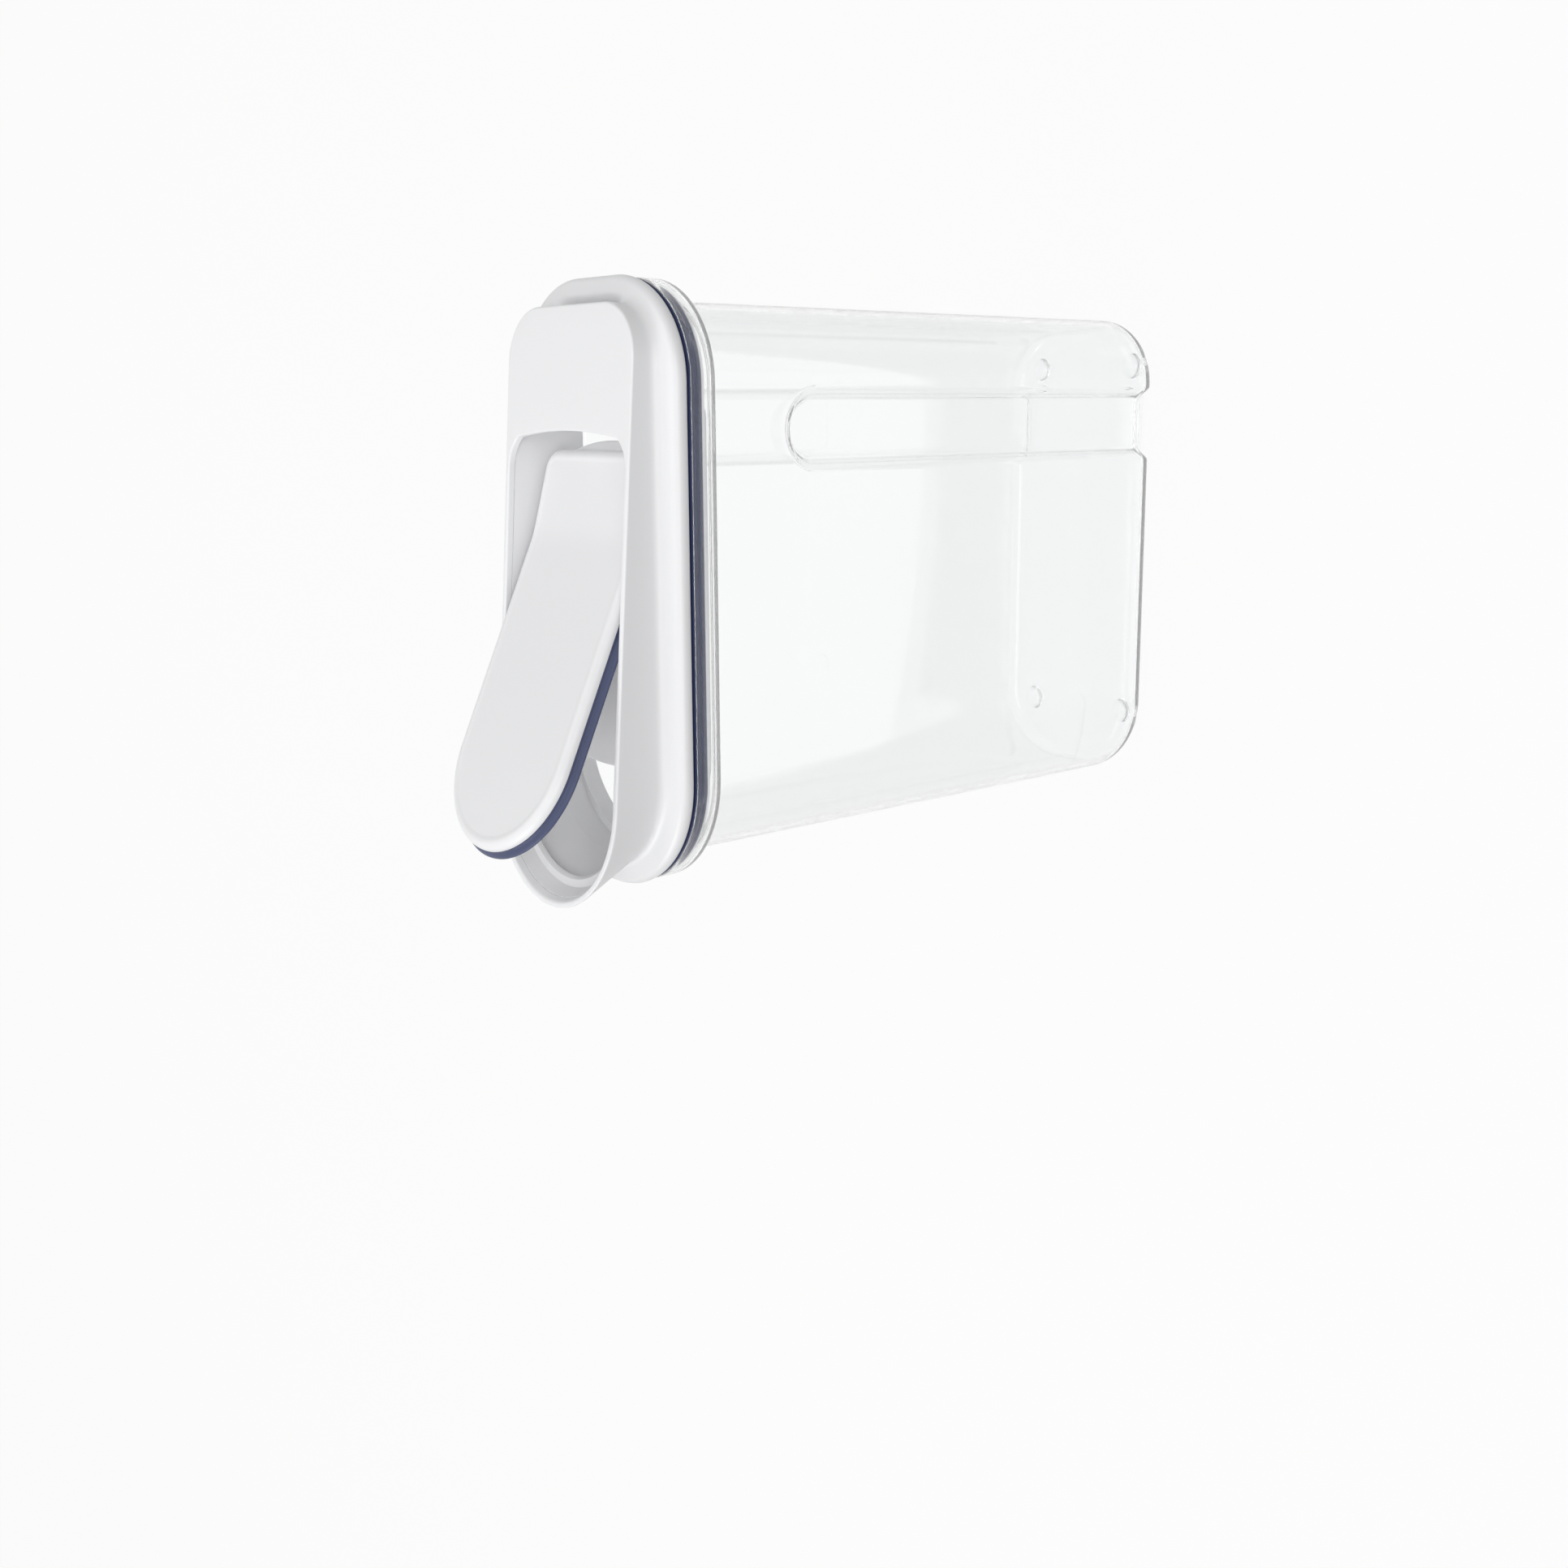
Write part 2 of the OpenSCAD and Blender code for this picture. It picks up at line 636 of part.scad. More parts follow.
module flip_cover() {
    color(white) on_cover() {
        intersection() {
            union() {
                // front plate, from the bend to the round tip
                translate([bend_end - bend_back, 0, cover_top]) rotate([90, 0, 90])
                    linear_extrude(cover_arc + bend_back - bend_end) cover_section(cover_hw);
                translate([cover_arc, 0, cover_top]) rotate([0, 0, -90])
                    rotate_extrude(angle = 180)
                        translate([cover_hw, 0]) roll_profile(tab_wall, cover_skin);
                translate([0, 0, cover_top - cover_skin]) linear_extrude(cover_skin) tip_plan();
                // bend
                translate([bend_end - bend_back, 0, cover_top + bend_r]) rotate([0, 90, 90])
                    rotate_extrude(angle = tab_bend)
                        translate([bend_r, 0]) rotate(90) cover_section(cover_hw);
                // press tab, a hair inside the bend it grows out of
                on_tab() translate([0, 0, -hair]) {
                    translate([-tab_l + tab_r, 0, 0]) rotate([90, 0, 90])
                        linear_extrude(tab_l - tab_r - bend_end + 1) cover_section(tab_hw);
                    for (side = [0, 1]) mirror([0, side, 0])
                        translate([-tab_l + tab_r, tab_hw - tab_r, 0]) rotate([0, 0, 90])
                            rotate_extrude(angle = 90) translate([tab_r, 0])
                                roll_profile(tab_wall, cover_skin);
                    translate([-tab_l, -tab_hw + tab_r, 0]) rotate([90, 0, 180])
                        linear_extrude(2 * (tab_hw - tab_r)) roll_profile(tab_wall, cover_skin);
                    translate([0, 0, -cover_skin]) linear_extrude(cover_skin) tab_plan();
                }
            }
            translate([-far, -far, side_w]) cube(2 * far);
        }
        // flange behind the tab
        on_tab() translate([0, 0, -flange_drop - cover_skin]) linear_extrude(cover_skin)
            difference() {
                intersection() {
                    translate([flange_r - tab_l - flange_out, 0]) circle(flange_r);
                    translate([-far, -far]) square([far, 2 * far]);
                }
                translate([-tab_l + cover_skin / 2, -cover_hw]) square([tab_l, 2 * cover_hw]);
            }
    }
}

// Plan of the cover's underside moved in by d: round tip, square back with round corners.
module under_plan(d) {
    channel_plan(rear_x + tab_r, cover_arc, cover_hw - d);
    translate([rear_x + d, -cover_hw + tab_r]) square([tab_r, 2 * (cover_hw - tab_r)]);
    for (side = [-1, 1]) translate([rear_x + tab_r, side * (cover_hw - tab_r)]) circle(tab_r - d);
}

module cover_plate() {
    color(white) on_cover() difference() {
        union() {
            translate([0, 0, plate_w]) linear_extrude(strip_t) under_plan(strip_in);
            translate([0, 0, plate_w + tiny]) linear_extrude(cover_gasket_h + strip_t - 2 * fit)
                under_plan(2 * seat + band_t);
            for (side = [-1, 1]) ear(side);
        }
        translate([0, 0, plate_w + strip_t + plate_t]) linear_extrude(far)
            under_plan(2 * seat + band_t + rib_t);
        rotate([90, 0, 0]) cylinder(r = pin_r + pin_clear, h = far, center = true);
    }
}

// Hinge ear under the plate, side = -1 or 1.
module ear(side) {
    translate([0, side * (ear_out - ear_t / 2), 0]) {
        rotate([90, 0, 0]) cylinder(r = ear_r, h = ear_t, center = true);
        translate([-ear_r, -ear_t / 2, 0]) cube([2 * ear_r, ear_t, plate_w + strip_t]);
    }
}

module cover_gasket() {
    lip_h = 1.4;
    color(navy) on_cover() difference() {
        union() {
            translate([0, 0, band_w]) linear_extrude(cover_gasket_h - fit) under_plan(seat);
            translate([0, 0, band_w]) linear_extrude(lip_h) intersection() {
                under_plan(-cover_gasket_lip);
                translate([seal_x, -far / 2]) square(far);
            }
        }
        translate([0, 0, band_w - 1]) linear_extrude(far) under_plan(seat + band_t);
    }
}

// ---------- hinge pins ----------

module hinge_pin(side) {
    inner = ear_out - ear_t - pin_past;
    color(steel) translate([hinge_x, side * inner, hinge_z]) rotate([side * -90, 0, 0])
        cylinder(r = pin_r, h = collar_hw - socket_skin - 2 * fit - inner);
}

module hinge_pin_left() { hinge_pin(1); }
module hinge_pin_right() { hinge_pin(-1); }

translate([-mid_x, 0, 0]) container();
translate([-mid_x, 0, 0]) foot_pads();
translate([-mid_x, 0, 0]) lid_shell();
translate([-mid_x, 0, 0]) lid_plug();
translate([-mid_x, 0, 0]) lid_gasket();
translate([-mid_x, 0, 0]) pour_guide();
translate([-mid_x, 0, 0]) flip_cover();
translate([-mid_x, 0, 0]) cover_plate();
translate([-mid_x, 0, 0]) cover_gasket();
translate([-mid_x, 0, 0]) hinge_pin_left();
translate([-mid_x, 0, 0]) hinge_pin_right();
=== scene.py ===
"""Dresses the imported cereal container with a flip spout: clear body, white lid, rocking cover.

Lengths in the classes are millimetres about the middle of the body, +Z up and the spout
along +X. A mesh is put into the frame, in metres, when it is made.
"""
import logging
import math
from collections.abc import Callable
from dataclasses import dataclass
from enum import Enum
import bmesh
import bpy
import numpy as np
from mathutils import Matrix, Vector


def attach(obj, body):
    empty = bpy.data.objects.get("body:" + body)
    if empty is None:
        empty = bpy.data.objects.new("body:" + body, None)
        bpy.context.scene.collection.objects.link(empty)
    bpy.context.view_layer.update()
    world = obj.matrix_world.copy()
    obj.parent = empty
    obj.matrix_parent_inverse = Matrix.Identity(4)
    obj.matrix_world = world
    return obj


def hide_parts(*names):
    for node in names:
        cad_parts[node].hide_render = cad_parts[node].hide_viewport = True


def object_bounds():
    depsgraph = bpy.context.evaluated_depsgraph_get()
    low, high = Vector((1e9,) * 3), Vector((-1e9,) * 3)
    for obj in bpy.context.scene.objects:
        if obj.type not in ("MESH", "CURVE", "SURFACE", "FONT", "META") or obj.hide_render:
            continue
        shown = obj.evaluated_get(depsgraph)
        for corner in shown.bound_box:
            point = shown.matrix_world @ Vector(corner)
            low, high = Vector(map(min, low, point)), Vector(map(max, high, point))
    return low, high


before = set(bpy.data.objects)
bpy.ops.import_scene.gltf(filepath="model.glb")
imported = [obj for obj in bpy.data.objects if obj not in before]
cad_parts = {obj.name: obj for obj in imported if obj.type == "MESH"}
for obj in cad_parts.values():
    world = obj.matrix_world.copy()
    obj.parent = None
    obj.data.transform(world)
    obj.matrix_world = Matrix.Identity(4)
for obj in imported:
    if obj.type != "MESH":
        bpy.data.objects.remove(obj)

CAD_BOX = [list(corner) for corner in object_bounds()]
LOG = logging.getLogger("container")
Array = np.ndarray
Curve = Callable[[float, Array], Array]  # a plan moved by d, at heights z
MM = 0.001
MID_X = 3.0  # middle of the whole from the middle of the body
MERGE = 2e-6  # points nearer than this, in metres, are one
THINNEST = 1e-7  # shortest edge that is kept, in metres


class Body(Enum):
    """The bodies that pieces ride on."""

    CONTAINER = "container"
    LID = "lid"
    COVER = "cover"


class Slot(Enum):
    """The record's material slots."""

    CLEAR = "clear_plastic"
    WHITE = "white_plastic"
    BLUE = "blue_silicone"


# ---------- shader nodes ----------


class Graph:
    """The node tree of one material or world."""

    def __init__(self, tree: bpy.types.NodeTree) -> None:
        """Starts from an empty tree."""
        self.tree = tree
        tree.nodes.clear()

    def node(self, kind: str, settings: dict | None = None, **sockets) -> "Node":
        """Adds a node.

        Args:
            kind: type name of the node.
            settings: properties that are set before the sockets; "stops" fills a ramp.
            sockets: values or links, named as the sockets with _ for a blank, or i0, i1 by place.

        Returns:
            The wrapped node.
        """
        made = self.tree.nodes.new(kind)
        for key, value in (settings or {}).items():
            if key == "stops":
                ramp = made.color_ramp
                while len(ramp.elements) > 1:
                    ramp.elements.remove(ramp.elements[-1])
                for place, (at, tone) in enumerate(value):
                    stop = ramp.elements[0] if place == 0 else ramp.elements.new(at)
                    stop.position = at
                    stop.color = (*tone, 1.0)
            else:
                setattr(made, key, value)
        for key, value in sockets.items():
            where = int(key[1:]) if key[0] == "i" and key[1:].isdigit() else key.replace("_", " ")
            socket = made.inputs[where]
            if isinstance(value, Wire):
                self.tree.links.new(value.socket, socket)
            else:
                socket.default_value = value
        return Node(self, made)


@dataclass(frozen=True)
class Node:
    """A node whose outputs are read as wires."""

    graph: Graph
    made: bpy.types.Node

    def out(self, name: str | int = 0) -> "Wire":
        """The output of that name or place."""
        return Wire(self.graph, self.made.outputs[name])


@dataclass(frozen=True)
class Wire:
    """An output socket that takes part in sums."""

    graph: Graph
    socket: bpy.types.NodeSocket

    def _math(self, operation: str, a: "Wire | float", b: "Wire | float") -> "Wire":
        """One Math node on a and b."""
        return self.graph.node("ShaderNodeMath", {"operation": operation}, i0=a, i1=b).out()

    def __add__(self, other: "Wire | float") -> "Wire":
        """self + other."""
        return self._math("ADD", self, other)

    __radd__ = __add__

    def __mul__(self, other: "Wire | float") -> "Wire":
        """self * other."""
        return self._math("MULTIPLY", self, other)

    __rmul__ = __mul__

    def __sub__(self, other: "Wire | float") -> "Wire":
        """self - other."""
        return self._math("SUBTRACT", self, other)

    def __rsub__(self, other: "Wire | float") -> "Wire":
        """other - self."""
        return self._math("SUBTRACT", other, self)


def blank(name: str) -> tuple[bpy.types.Material, Graph]:
    """A new material of that name and its empty tree."""
    made = bpy.data.materials.new(name)
    made.use_nodes = True
    return made, Graph(made.node_tree)


def noise(graph: Graph, where: Wire, scale: float, detail: float, stretch=(1, 1, 1)) -> Wire:
    """Noise on object coordinates.

    Args:
        graph: tree that it goes in.
        where: the coordinates.
        scale: cycles in a metre.
        detail: octaves.
        stretch: factor on each axis.

    Returns:
        The value, from 0 to 1.
    """
    turned = graph.node("ShaderNodeMapping", None, Vector=where, Scale=stretch)
    return graph.node("ShaderNodeTexNoise", None, Vector=turned.out(), Scale=scale,
                      Detail=detail).out(0)


# ---------- finishes ----------


@dataclass(frozen=True)
class WhitePlastic:
    """Satin white moulding: fine spark-eroded grain, faint flow marks and cloudy patches at random.
    """

    name: str = "white_moulding"
    tone: tuple = (0.86, 0.86, 0.87)
    shade: tuple = (0.835, 0.837, 0.85)
    rough: float = 0.34
    grain: float = 0.05

    def material(self) -> bpy.types.Material:
        """Makes the material."""
        made, g = blank(self.name)
        at = g.node("ShaderNodeTexCoord").out("Object")
        flow = noise(g, at, 9.0, 2.0, (1, 1, 2.2))
        cloud = noise(g, at, 38.0, 3.0)
        grain = noise(g, at, 2600.0, 2.0)
        tone = g.node("ShaderNodeMix", {"data_type": "RGBA"}, i0=flow * 0.7 + cloud * 0.3,
                      i6=(*self.shade, 1), i7=(*self.tone, 1)).out(2)
        rough = self.rough - 0.04 + flow * 0.05 + grain * 0.05
        bump = g.node("ShaderNodeBump", None, Strength=self.grain, Distance=0.0002,
                      Height=grain).out()
        shader = g.node("ShaderNodeBsdfPrincipled", None, Base_Color=tone, Roughness=rough,
                        Normal=bump, IOR=1.5)
        g.node("ShaderNodeOutputMaterial", None, Surface=shader.out())
        return made


@dataclass(frozen=True)
class Silicone:
    """Dark blue silicone with a faint bloom and a soft sheen."""

    name: str = "blue_silicone"
    tone: tuple = (0.045, 0.056, 0.125)
    bloom: tuple = (0.062, 0.076, 0.155)

    def material(self) -> bpy.types.Material:
        """Makes the material."""
        made, g = blank(self.name)
        at = g.node("ShaderNodeTexCoord").out("Object")
        cloud = noise(g, at, 55.0, 4.0)
        fine = noise(g, at, 900.0, 3.0)
        tone = g.node("ShaderNodeMix", {"data_type": "RGBA"}, i0=cloud * 0.75 + fine * 0.25,
                      i6=(*self.tone, 1), i7=(*self.bloom, 1)).out(2)
        bump = g.node("ShaderNodeBump", None, Strength=0.12, Distance=0.0002, Height=fine).out()
        shader = g.node("ShaderNodeBsdfPrincipled", None, Base_Color=tone,
                        Roughness=0.36 + cloud * 0.12, Normal=bump, IOR=1.43, Sheen_Weight=0.15,
                        Sheen_Roughness=0.4)
        g.node("ShaderNodeOutputMaterial", None, Surface=shader.out())
        return made


@dataclass(frozen=True)
class ClearPlastic:
    """Polished clear copolyester with slow waves in the walls and faint wiping marks."""

    name: str = "clear_copolyester"
    tone: tuple = (0.988, 0.993, 0.993)
    thick_tone: tuple = (0.98, 0.989, 0.99)
    wave: float = 0.02
    body: float = 0.92

    def material(self) -> bpy.types.Material:
        """Makes the material."""
        made, g = blank(self.name)
        at = g.node("ShaderNodeTexCoord").out("Object")
        wave = noise(g, at, 14.0, 1.0, (1, 1, 0.35))
        wiped = noise(g, at, 70.0, 3.0, (1, 1, 0.2))
        bump = g.node("ShaderNodeBump", None, Strength=self.wave, Distance=0.002,
                      Height=wave).out()
        tone = g.node("ShaderNodeMix", {"data_type": "RGBA"}, i0=wave, i6=(*self.tone, 1),
                      i7=(*self.thick_tone, 1)).out(2)
        shader = g.node("ShaderNodeBsdfPrincipled", None, Base_Color=tone,
                        Roughness=wiped * 0.035, Normal=bump, IOR=1.42, Transmission_Weight=1.0,
                        Alpha=self.body)
        g.node("ShaderNodeOutputMaterial", None, Surface=shader.out())
        return made


# ---------- surfaces ----------


def arc(cx: Array | float, cy: float, r: Array | float, start: float, stop: float, count: int,
        last: bool = False) -> Array:
    """Points of a circular arc: centre plus r times (cos, sin) of angles in even steps.

    Args:
        cx: centre along x, one value or one for each point.
        cy: centre along y.
        r: radius.
        start: first angle in degrees.
        stop: last angle in degrees.
        count: how many points.
        last: whether the last angle is among them.

    Returns:
        The points, (count, 2).
    """
    a = np.radians(np.linspace(start, stop, count, endpoint=last))
    return np.stack([cx + r * np.cos(a), cy + r * np.sin(a)], 1)


def line(a: tuple, b: tuple, count: int, last: bool = False) -> Array:
    """Points in even steps from a to b, with b only where last is true."""
    t = np.linspace(0, 1, count, endpoint=last)[:, None]
    return np.asarray(a, float) * (1 - t) + np.asarray(b, float) * t


def resample(path: Array, count: int, last: bool = False) -> Array:
    """Points at even arc lengths along a path: each coordinate is interpolated on its length."""
    run = np.concatenate([[0], np.cumsum(np.linalg.norm(np.diff(path, axis=0), axis=1))])
    t = np.linspace(0, run[-1], count, endpoint=last)
    return np.stack([np.interp(t, run, path[:, k]) for k in range(path.shape[1])], 1)


def whole(half: Array) -> Array:
    """Closes a half ring, whose two ends lie on y = 0, with its mirror image in y."""
    back = half[-2:0:-1] * np.array([1, -1, 1])
    return np.concatenate([half, back])


def raised(plan: Array, z: Array | float) -> Array:
    """A plan's points with their height beside them."""
    return np.column_stack([plan, np.broadcast_to(z, len(plan))])


def lattice(rings: list[Array], loop: bool) -> tuple[Array, Array]:
    """Quads between neighbouring closed rings of the same number of points.

    Args:
        rings: each ring's points, (count, 3).
        loop: whether the last ring joins the first, as on a torus.

    Returns:
        The points and the quads.
    """
    rows, cols = len(rings), len(rings[0])
    i = np.arange(rows if loop else rows - 1)[:, None]
    j = np.arange(cols)[None, :]
    after, beside = (i + 1) % rows, (j + 1) % cols
    quads = np.stack([i * cols + j, i * cols + beside, after * cols + beside, after * cols + j], -1)
    return np.concatenate(rings), quads.reshape(-1, 4)


def capped(rings: list[Array]) -> tuple[Array, Array]:
    """A lattice whose first and last rings are closed by a fan about their middles."""
    first, last = (np.repeat(ring.mean(0, keepdims=True), len(ring), 0)
                   for ring in (rings[0], rings[-1]))
    return lattice([first, *rings, last], False)


def spine(ring: Array, start: float, stop: float, count: int) -> list[Array]:
    """Rings that close a ring onto the line y = 0 from start to stop, at the ring's own height.

    Each point moves in even steps to the point of the line that is nearest to it along x,
    so that the two sides meet there and are merged.

    Args:
        ring: the ring to close.
        start: lowest x of the line.
        stop: highest x of the line.
        count: how many steps.

    Returns:
        The rings after the given one.
    """
    goal = ring.copy()
    goal[:, 0] = np.clip(ring[:, 0], start, stop)
    goal[:, 1] = 0
    return [ring + (goal - ring) * (k / count) for k in range(1, count + 1)]


def revolve(profile: Array, centre: tuple, axis: str, sides: int = 48) -> tuple[Array, Array]:
    """Turns a profile (radius, height) about an axis through centre: r cos, r sin, height.

    Args:
        profile: the points, which start and end at radius 0.
        centre: a point on the axis.
        axis: "y" or "z".
        sides: steps of the turn.

    Returns:
        The points and the quads.
    """
    a = np.linspace(0, 2 * math.pi, sides, endpoint=False)
    r, h = profile[:, 0, None], profile[:, 1, None] + 0 * a
    x, y = r * np.cos(a), r * np.sin(a)
    grid = np.stack([x, y, h] if axis == "z" else [x, h, y], -1) + np.asarray(centre)
    return lattice(list(grid), False)


def make(name: str, shells: list[tuple[Array, Array]], material: bpy.types.Material,
         body: Body, slot: Slot, *nodes: str, sharp: float = 34.0) -> bpy.types.Object:
    """Makes one object of closed shells and hands it to the frame.

    Args:
        name: the piece's name.
        shells: points in millimetres and faces of each shell.
        material: its finish.
        body: what it rides on.
        slot: the record's slot of its finish; not used.
        nodes: the solids that it stands for.
        sharp: edges over this angle, in degrees, stay crisp.

    Returns:
        The object.
    """
    count, points, faces = 0, [], []
    for at, quads in shells:
        points.append((at - [MID_X, 0, 0]) * MM)
        faces.append(quads + count)
        count += len(at)
    mesh = bpy.data.meshes.new(name)
    points = np.clip(np.concatenate(points), CAD_BOX[0], CAD_BOX[1])
    mesh.from_pydata(points.tolist(), [], np.concatenate(faces).tolist())
    made = bmesh.new()
    made.from_mesh(mesh)
    bmesh.ops.remove_doubles(made, verts=made.verts, dist=MERGE)
    bmesh.ops.dissolve_degenerate(made, edges=made.edges, dist=THINNEST)
    bmesh.ops.recalc_face_normals(made, faces=made.faces)
    loose = [e for e in made.edges if not e.is_manifold]
    made.to_mesh(mesh)
    made.free()
    mesh.shade_smooth()
    mesh.set_sharp_from_angle(angle=math.radians(sharp))
    mesh.materials.append(material)
    piece = bpy.data.objects.new(name, mesh)
    bpy.context.scene.collection.objects.link(piece)
    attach(piece, body.value)
    if nodes:
        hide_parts(*nodes)
    LOG.info("%s: %d faces, %d open edges", name, len(mesh.polygons), len(loose))
    return piece


# ---------- plans that the pieces share ----------


@dataclass(frozen=True)
class Columns:
    """How many columns each stretch of a half ring has, from the back to the spout."""

    back: int = 26
    corner: int = 34
    pad_side: int = 24
    side: int = 72
    front: int = 60

    @property
    def rear(self) -> int:
        """Columns behind the split."""
        return self.back + self.corner + self.pad_side

    @property
    def spout(self) -> int:
        """Columns from the split to the spout's end."""
        return self.side + self.front

    @property
    def total(self) -> int:
        """Columns of the half ring."""
        return self.rear + self.spout


@dataclass(frozen=True)
class Plans:
    """Plan curves of the body, the collar, the opening and the duct."""

    length: float = 213
    width: float = 85
    back_r: float = 30
    front_r: float = 37
    split_x: float = -46  # from here to the spout all rings share their x
    collar_hw: float = 41.5
    collar_t: float = 2.5
    pad_back: float = -105
    pad_r: float = 20
    foot_arc: float = 65
    lip_foot_z: float = 279
    lean: float = 15 / 28.436  # how far the lip's centre moves out for each mm up
    top_z: float = 298.3
    tilt: float = math.tan(math.radians(4.3))
    mouth_back: float = -59.4
    crown_r: float = 220
    mouth_r: float = 14
    duct_x: float = -66
    duct_arc: float = 65
    skirt_arc: float = 60.9
    deck_z: float = 281.5
    deck_r: float = 19.125
    deck_run: float = 6.73  # how far the deck's arc reaches out from the body's plan
    cols: Columns = Columns()

    def body(self, d: float) -> Array:
        """Half ring of the body's plan moved out by d: straights and arcs, end to end."""
        c, hx, hy = self.cols, self.length / 2, self.width / 2
        bx, by, fx, fy = self.back_r - hx, hy - self.back_r, hx - self.front_r, hy - self.front_r
        nose = np.concatenate([arc(fx, fy, self.front_r + d, 90, 0, 120),
                               line((hx + d, fy), (hx + d, 0), 24, True)])
        return np.concatenate([
            line((-hx - d, 0), (-hx - d, by), c.back),
            arc(bx, by, self.back_r + d, 180, 90, c.corner),
            line((bx, hy + d), (self.split_x, hy + d), c.pad_side),
            line((self.split_x, hy + d), (fx, hy + d), c.side),
            resample(nose, c.front, True)])

    def away(self, x: Array, y: Array) -> Array:
        """Distance from the body's plan, less than 0 inside: that of a round rectangle."""
        r = np.where(x < 0, self.back_r, self.front_r)
        qx, qy = np.abs(x) - self.length / 2 + r, np.abs(y) - self.width / 2 + r
        return (np.hypot(np.maximum(qx, 0), np.maximum(qy, 0))
                + np.minimum(np.maximum(qx, qy), 0) - r)

    def deck(self, plan: Array) -> Array:
        """Height of the deck: flat inside the body's plan, then an arc of the crown's radius."""
        d = np.clip(self.away(plan[:, 0], plan[:, 1]), 0, self.deck_run)
        return self.deck_z - self.deck_r + np.sqrt(self.deck_r ** 2 - d ** 2)

    def _spout(self, hw: float, z: Array | float, centre: float | None = None) -> Array:
        """Side and round front of a channel of half width hw, whose centre leans out with z."""
        c = self.cols
        z = np.broadcast_to(z, c.spout)
        cx = (self.foot_arc + self.lean * np.maximum(z - self.lip_foot_z, 0)
              if centre is None else np.full(len(z), centre))
        t = np.linspace(0, 1, c.side, endpoint=False)
        side = np.stack([self.split_x + t * (cx[:c.side] - self.split_x),
                         np.full(c.side, hw)], 1)
        return np.concatenate([side, arc(cx[c.side:], 0, hw, 90, 0, c.front, True)])

    def collar(self, d: float, z: Array | float) -> Array:
        """Half ring of the collar's plan moved in by d, at heights z."""
        c, hw = self.cols, self.collar_hw
        z = np.broadcast_to(z, c.total)
        bx, by = self.pad_back + self.pad_r, hw - self.pad_r
        return np.concatenate([
            line((self.pad_back + d, 0), (self.pad_back + d, by), c.back),
            arc(bx, by, self.pad_r - d, 180, 90, c.corner),
            line((bx, hw - d), (self.split_x, hw - d), c.pad_side),
            self._spout(hw - d, z[-c.spout:])])

    def mouth(self, d: float, z: Array | float) -> Array:
        """Half ring of the opening moved out by d: crowned back, round corner, side and lip."""
        c, hw = self.cols, self.collar_hw - self.collar_t
        z = np.broadcast_to(z, c.total)
        by, r = hw - self.mouth_r, self.mouth_r + d
        y = np.concatenate([np.linspace(0, by, 60, endpoint=False),
                            by + r * np.sin(np.radians(np.linspace(0, 90, 90)))])
        crown = self.mouth_back + self.crown_r - np.sqrt((self.crown_r + d) ** 2 - y ** 2)
        round_x = self.mouth_back + self.mouth_r - np.sqrt(
            np.maximum(r ** 2 - np.maximum(y - by, 0) ** 2, 0))
        back = np.stack([np.maximum(crown, round_x), y], 1)
        back = np.concatenate([back, [[self.split_x, hw + d]]])
        return np.concatenate([resample(back, c.rear),
                               self._spout(hw + d, z[-c.spout:])])

    def duct(self, d: float, centre: float | None, z: Array | float = 0.0, r: float = 4) -> Array:
        """Half ring of the duct moved out by d, with its front's centre there or leaning."""
        c, hw = self.cols, self.collar_hw - self.collar_t + d
        z = np.broadcast_to(z, c.total)
        back = np.concatenate([line((self.duct_x - d, 0), (self.duct_x - d, hw - r), 40),
                               arc(self.duct_x - d + r, hw - r, r, 180, 90, 30, True),
                               [[self.split_x, hw]]])
        return np.concatenate([resample(back, c.rear),
                               self._spout(hw, z[-c.spout:], centre)])

    def leaning_duct(self, d: float, z: Array | float) -> Array:
        """Half ring of the duct whose front leans out with the lip, at heights z."""
        return self.duct(d, None, z)

    def plane(self, x: Array, drop: float) -> Array:
        """Height of the collar's sloping top at x, lowered by drop."""
        return self.top_z + x * self.tilt - drop

    def on_plane(self, curve: Curve, d: float, drop: float) -> Array:
        """A half ring on the sloping plane: its height and its lean settle in four steps."""
        z = np.full(self.cols.total, self.top_z)
        for _ in range(4):
            plan = curve(d, z)
            z = self.plane(plan[:, 0], drop)
        return raised(plan, z)


# ---------- sub-assemblies ----------


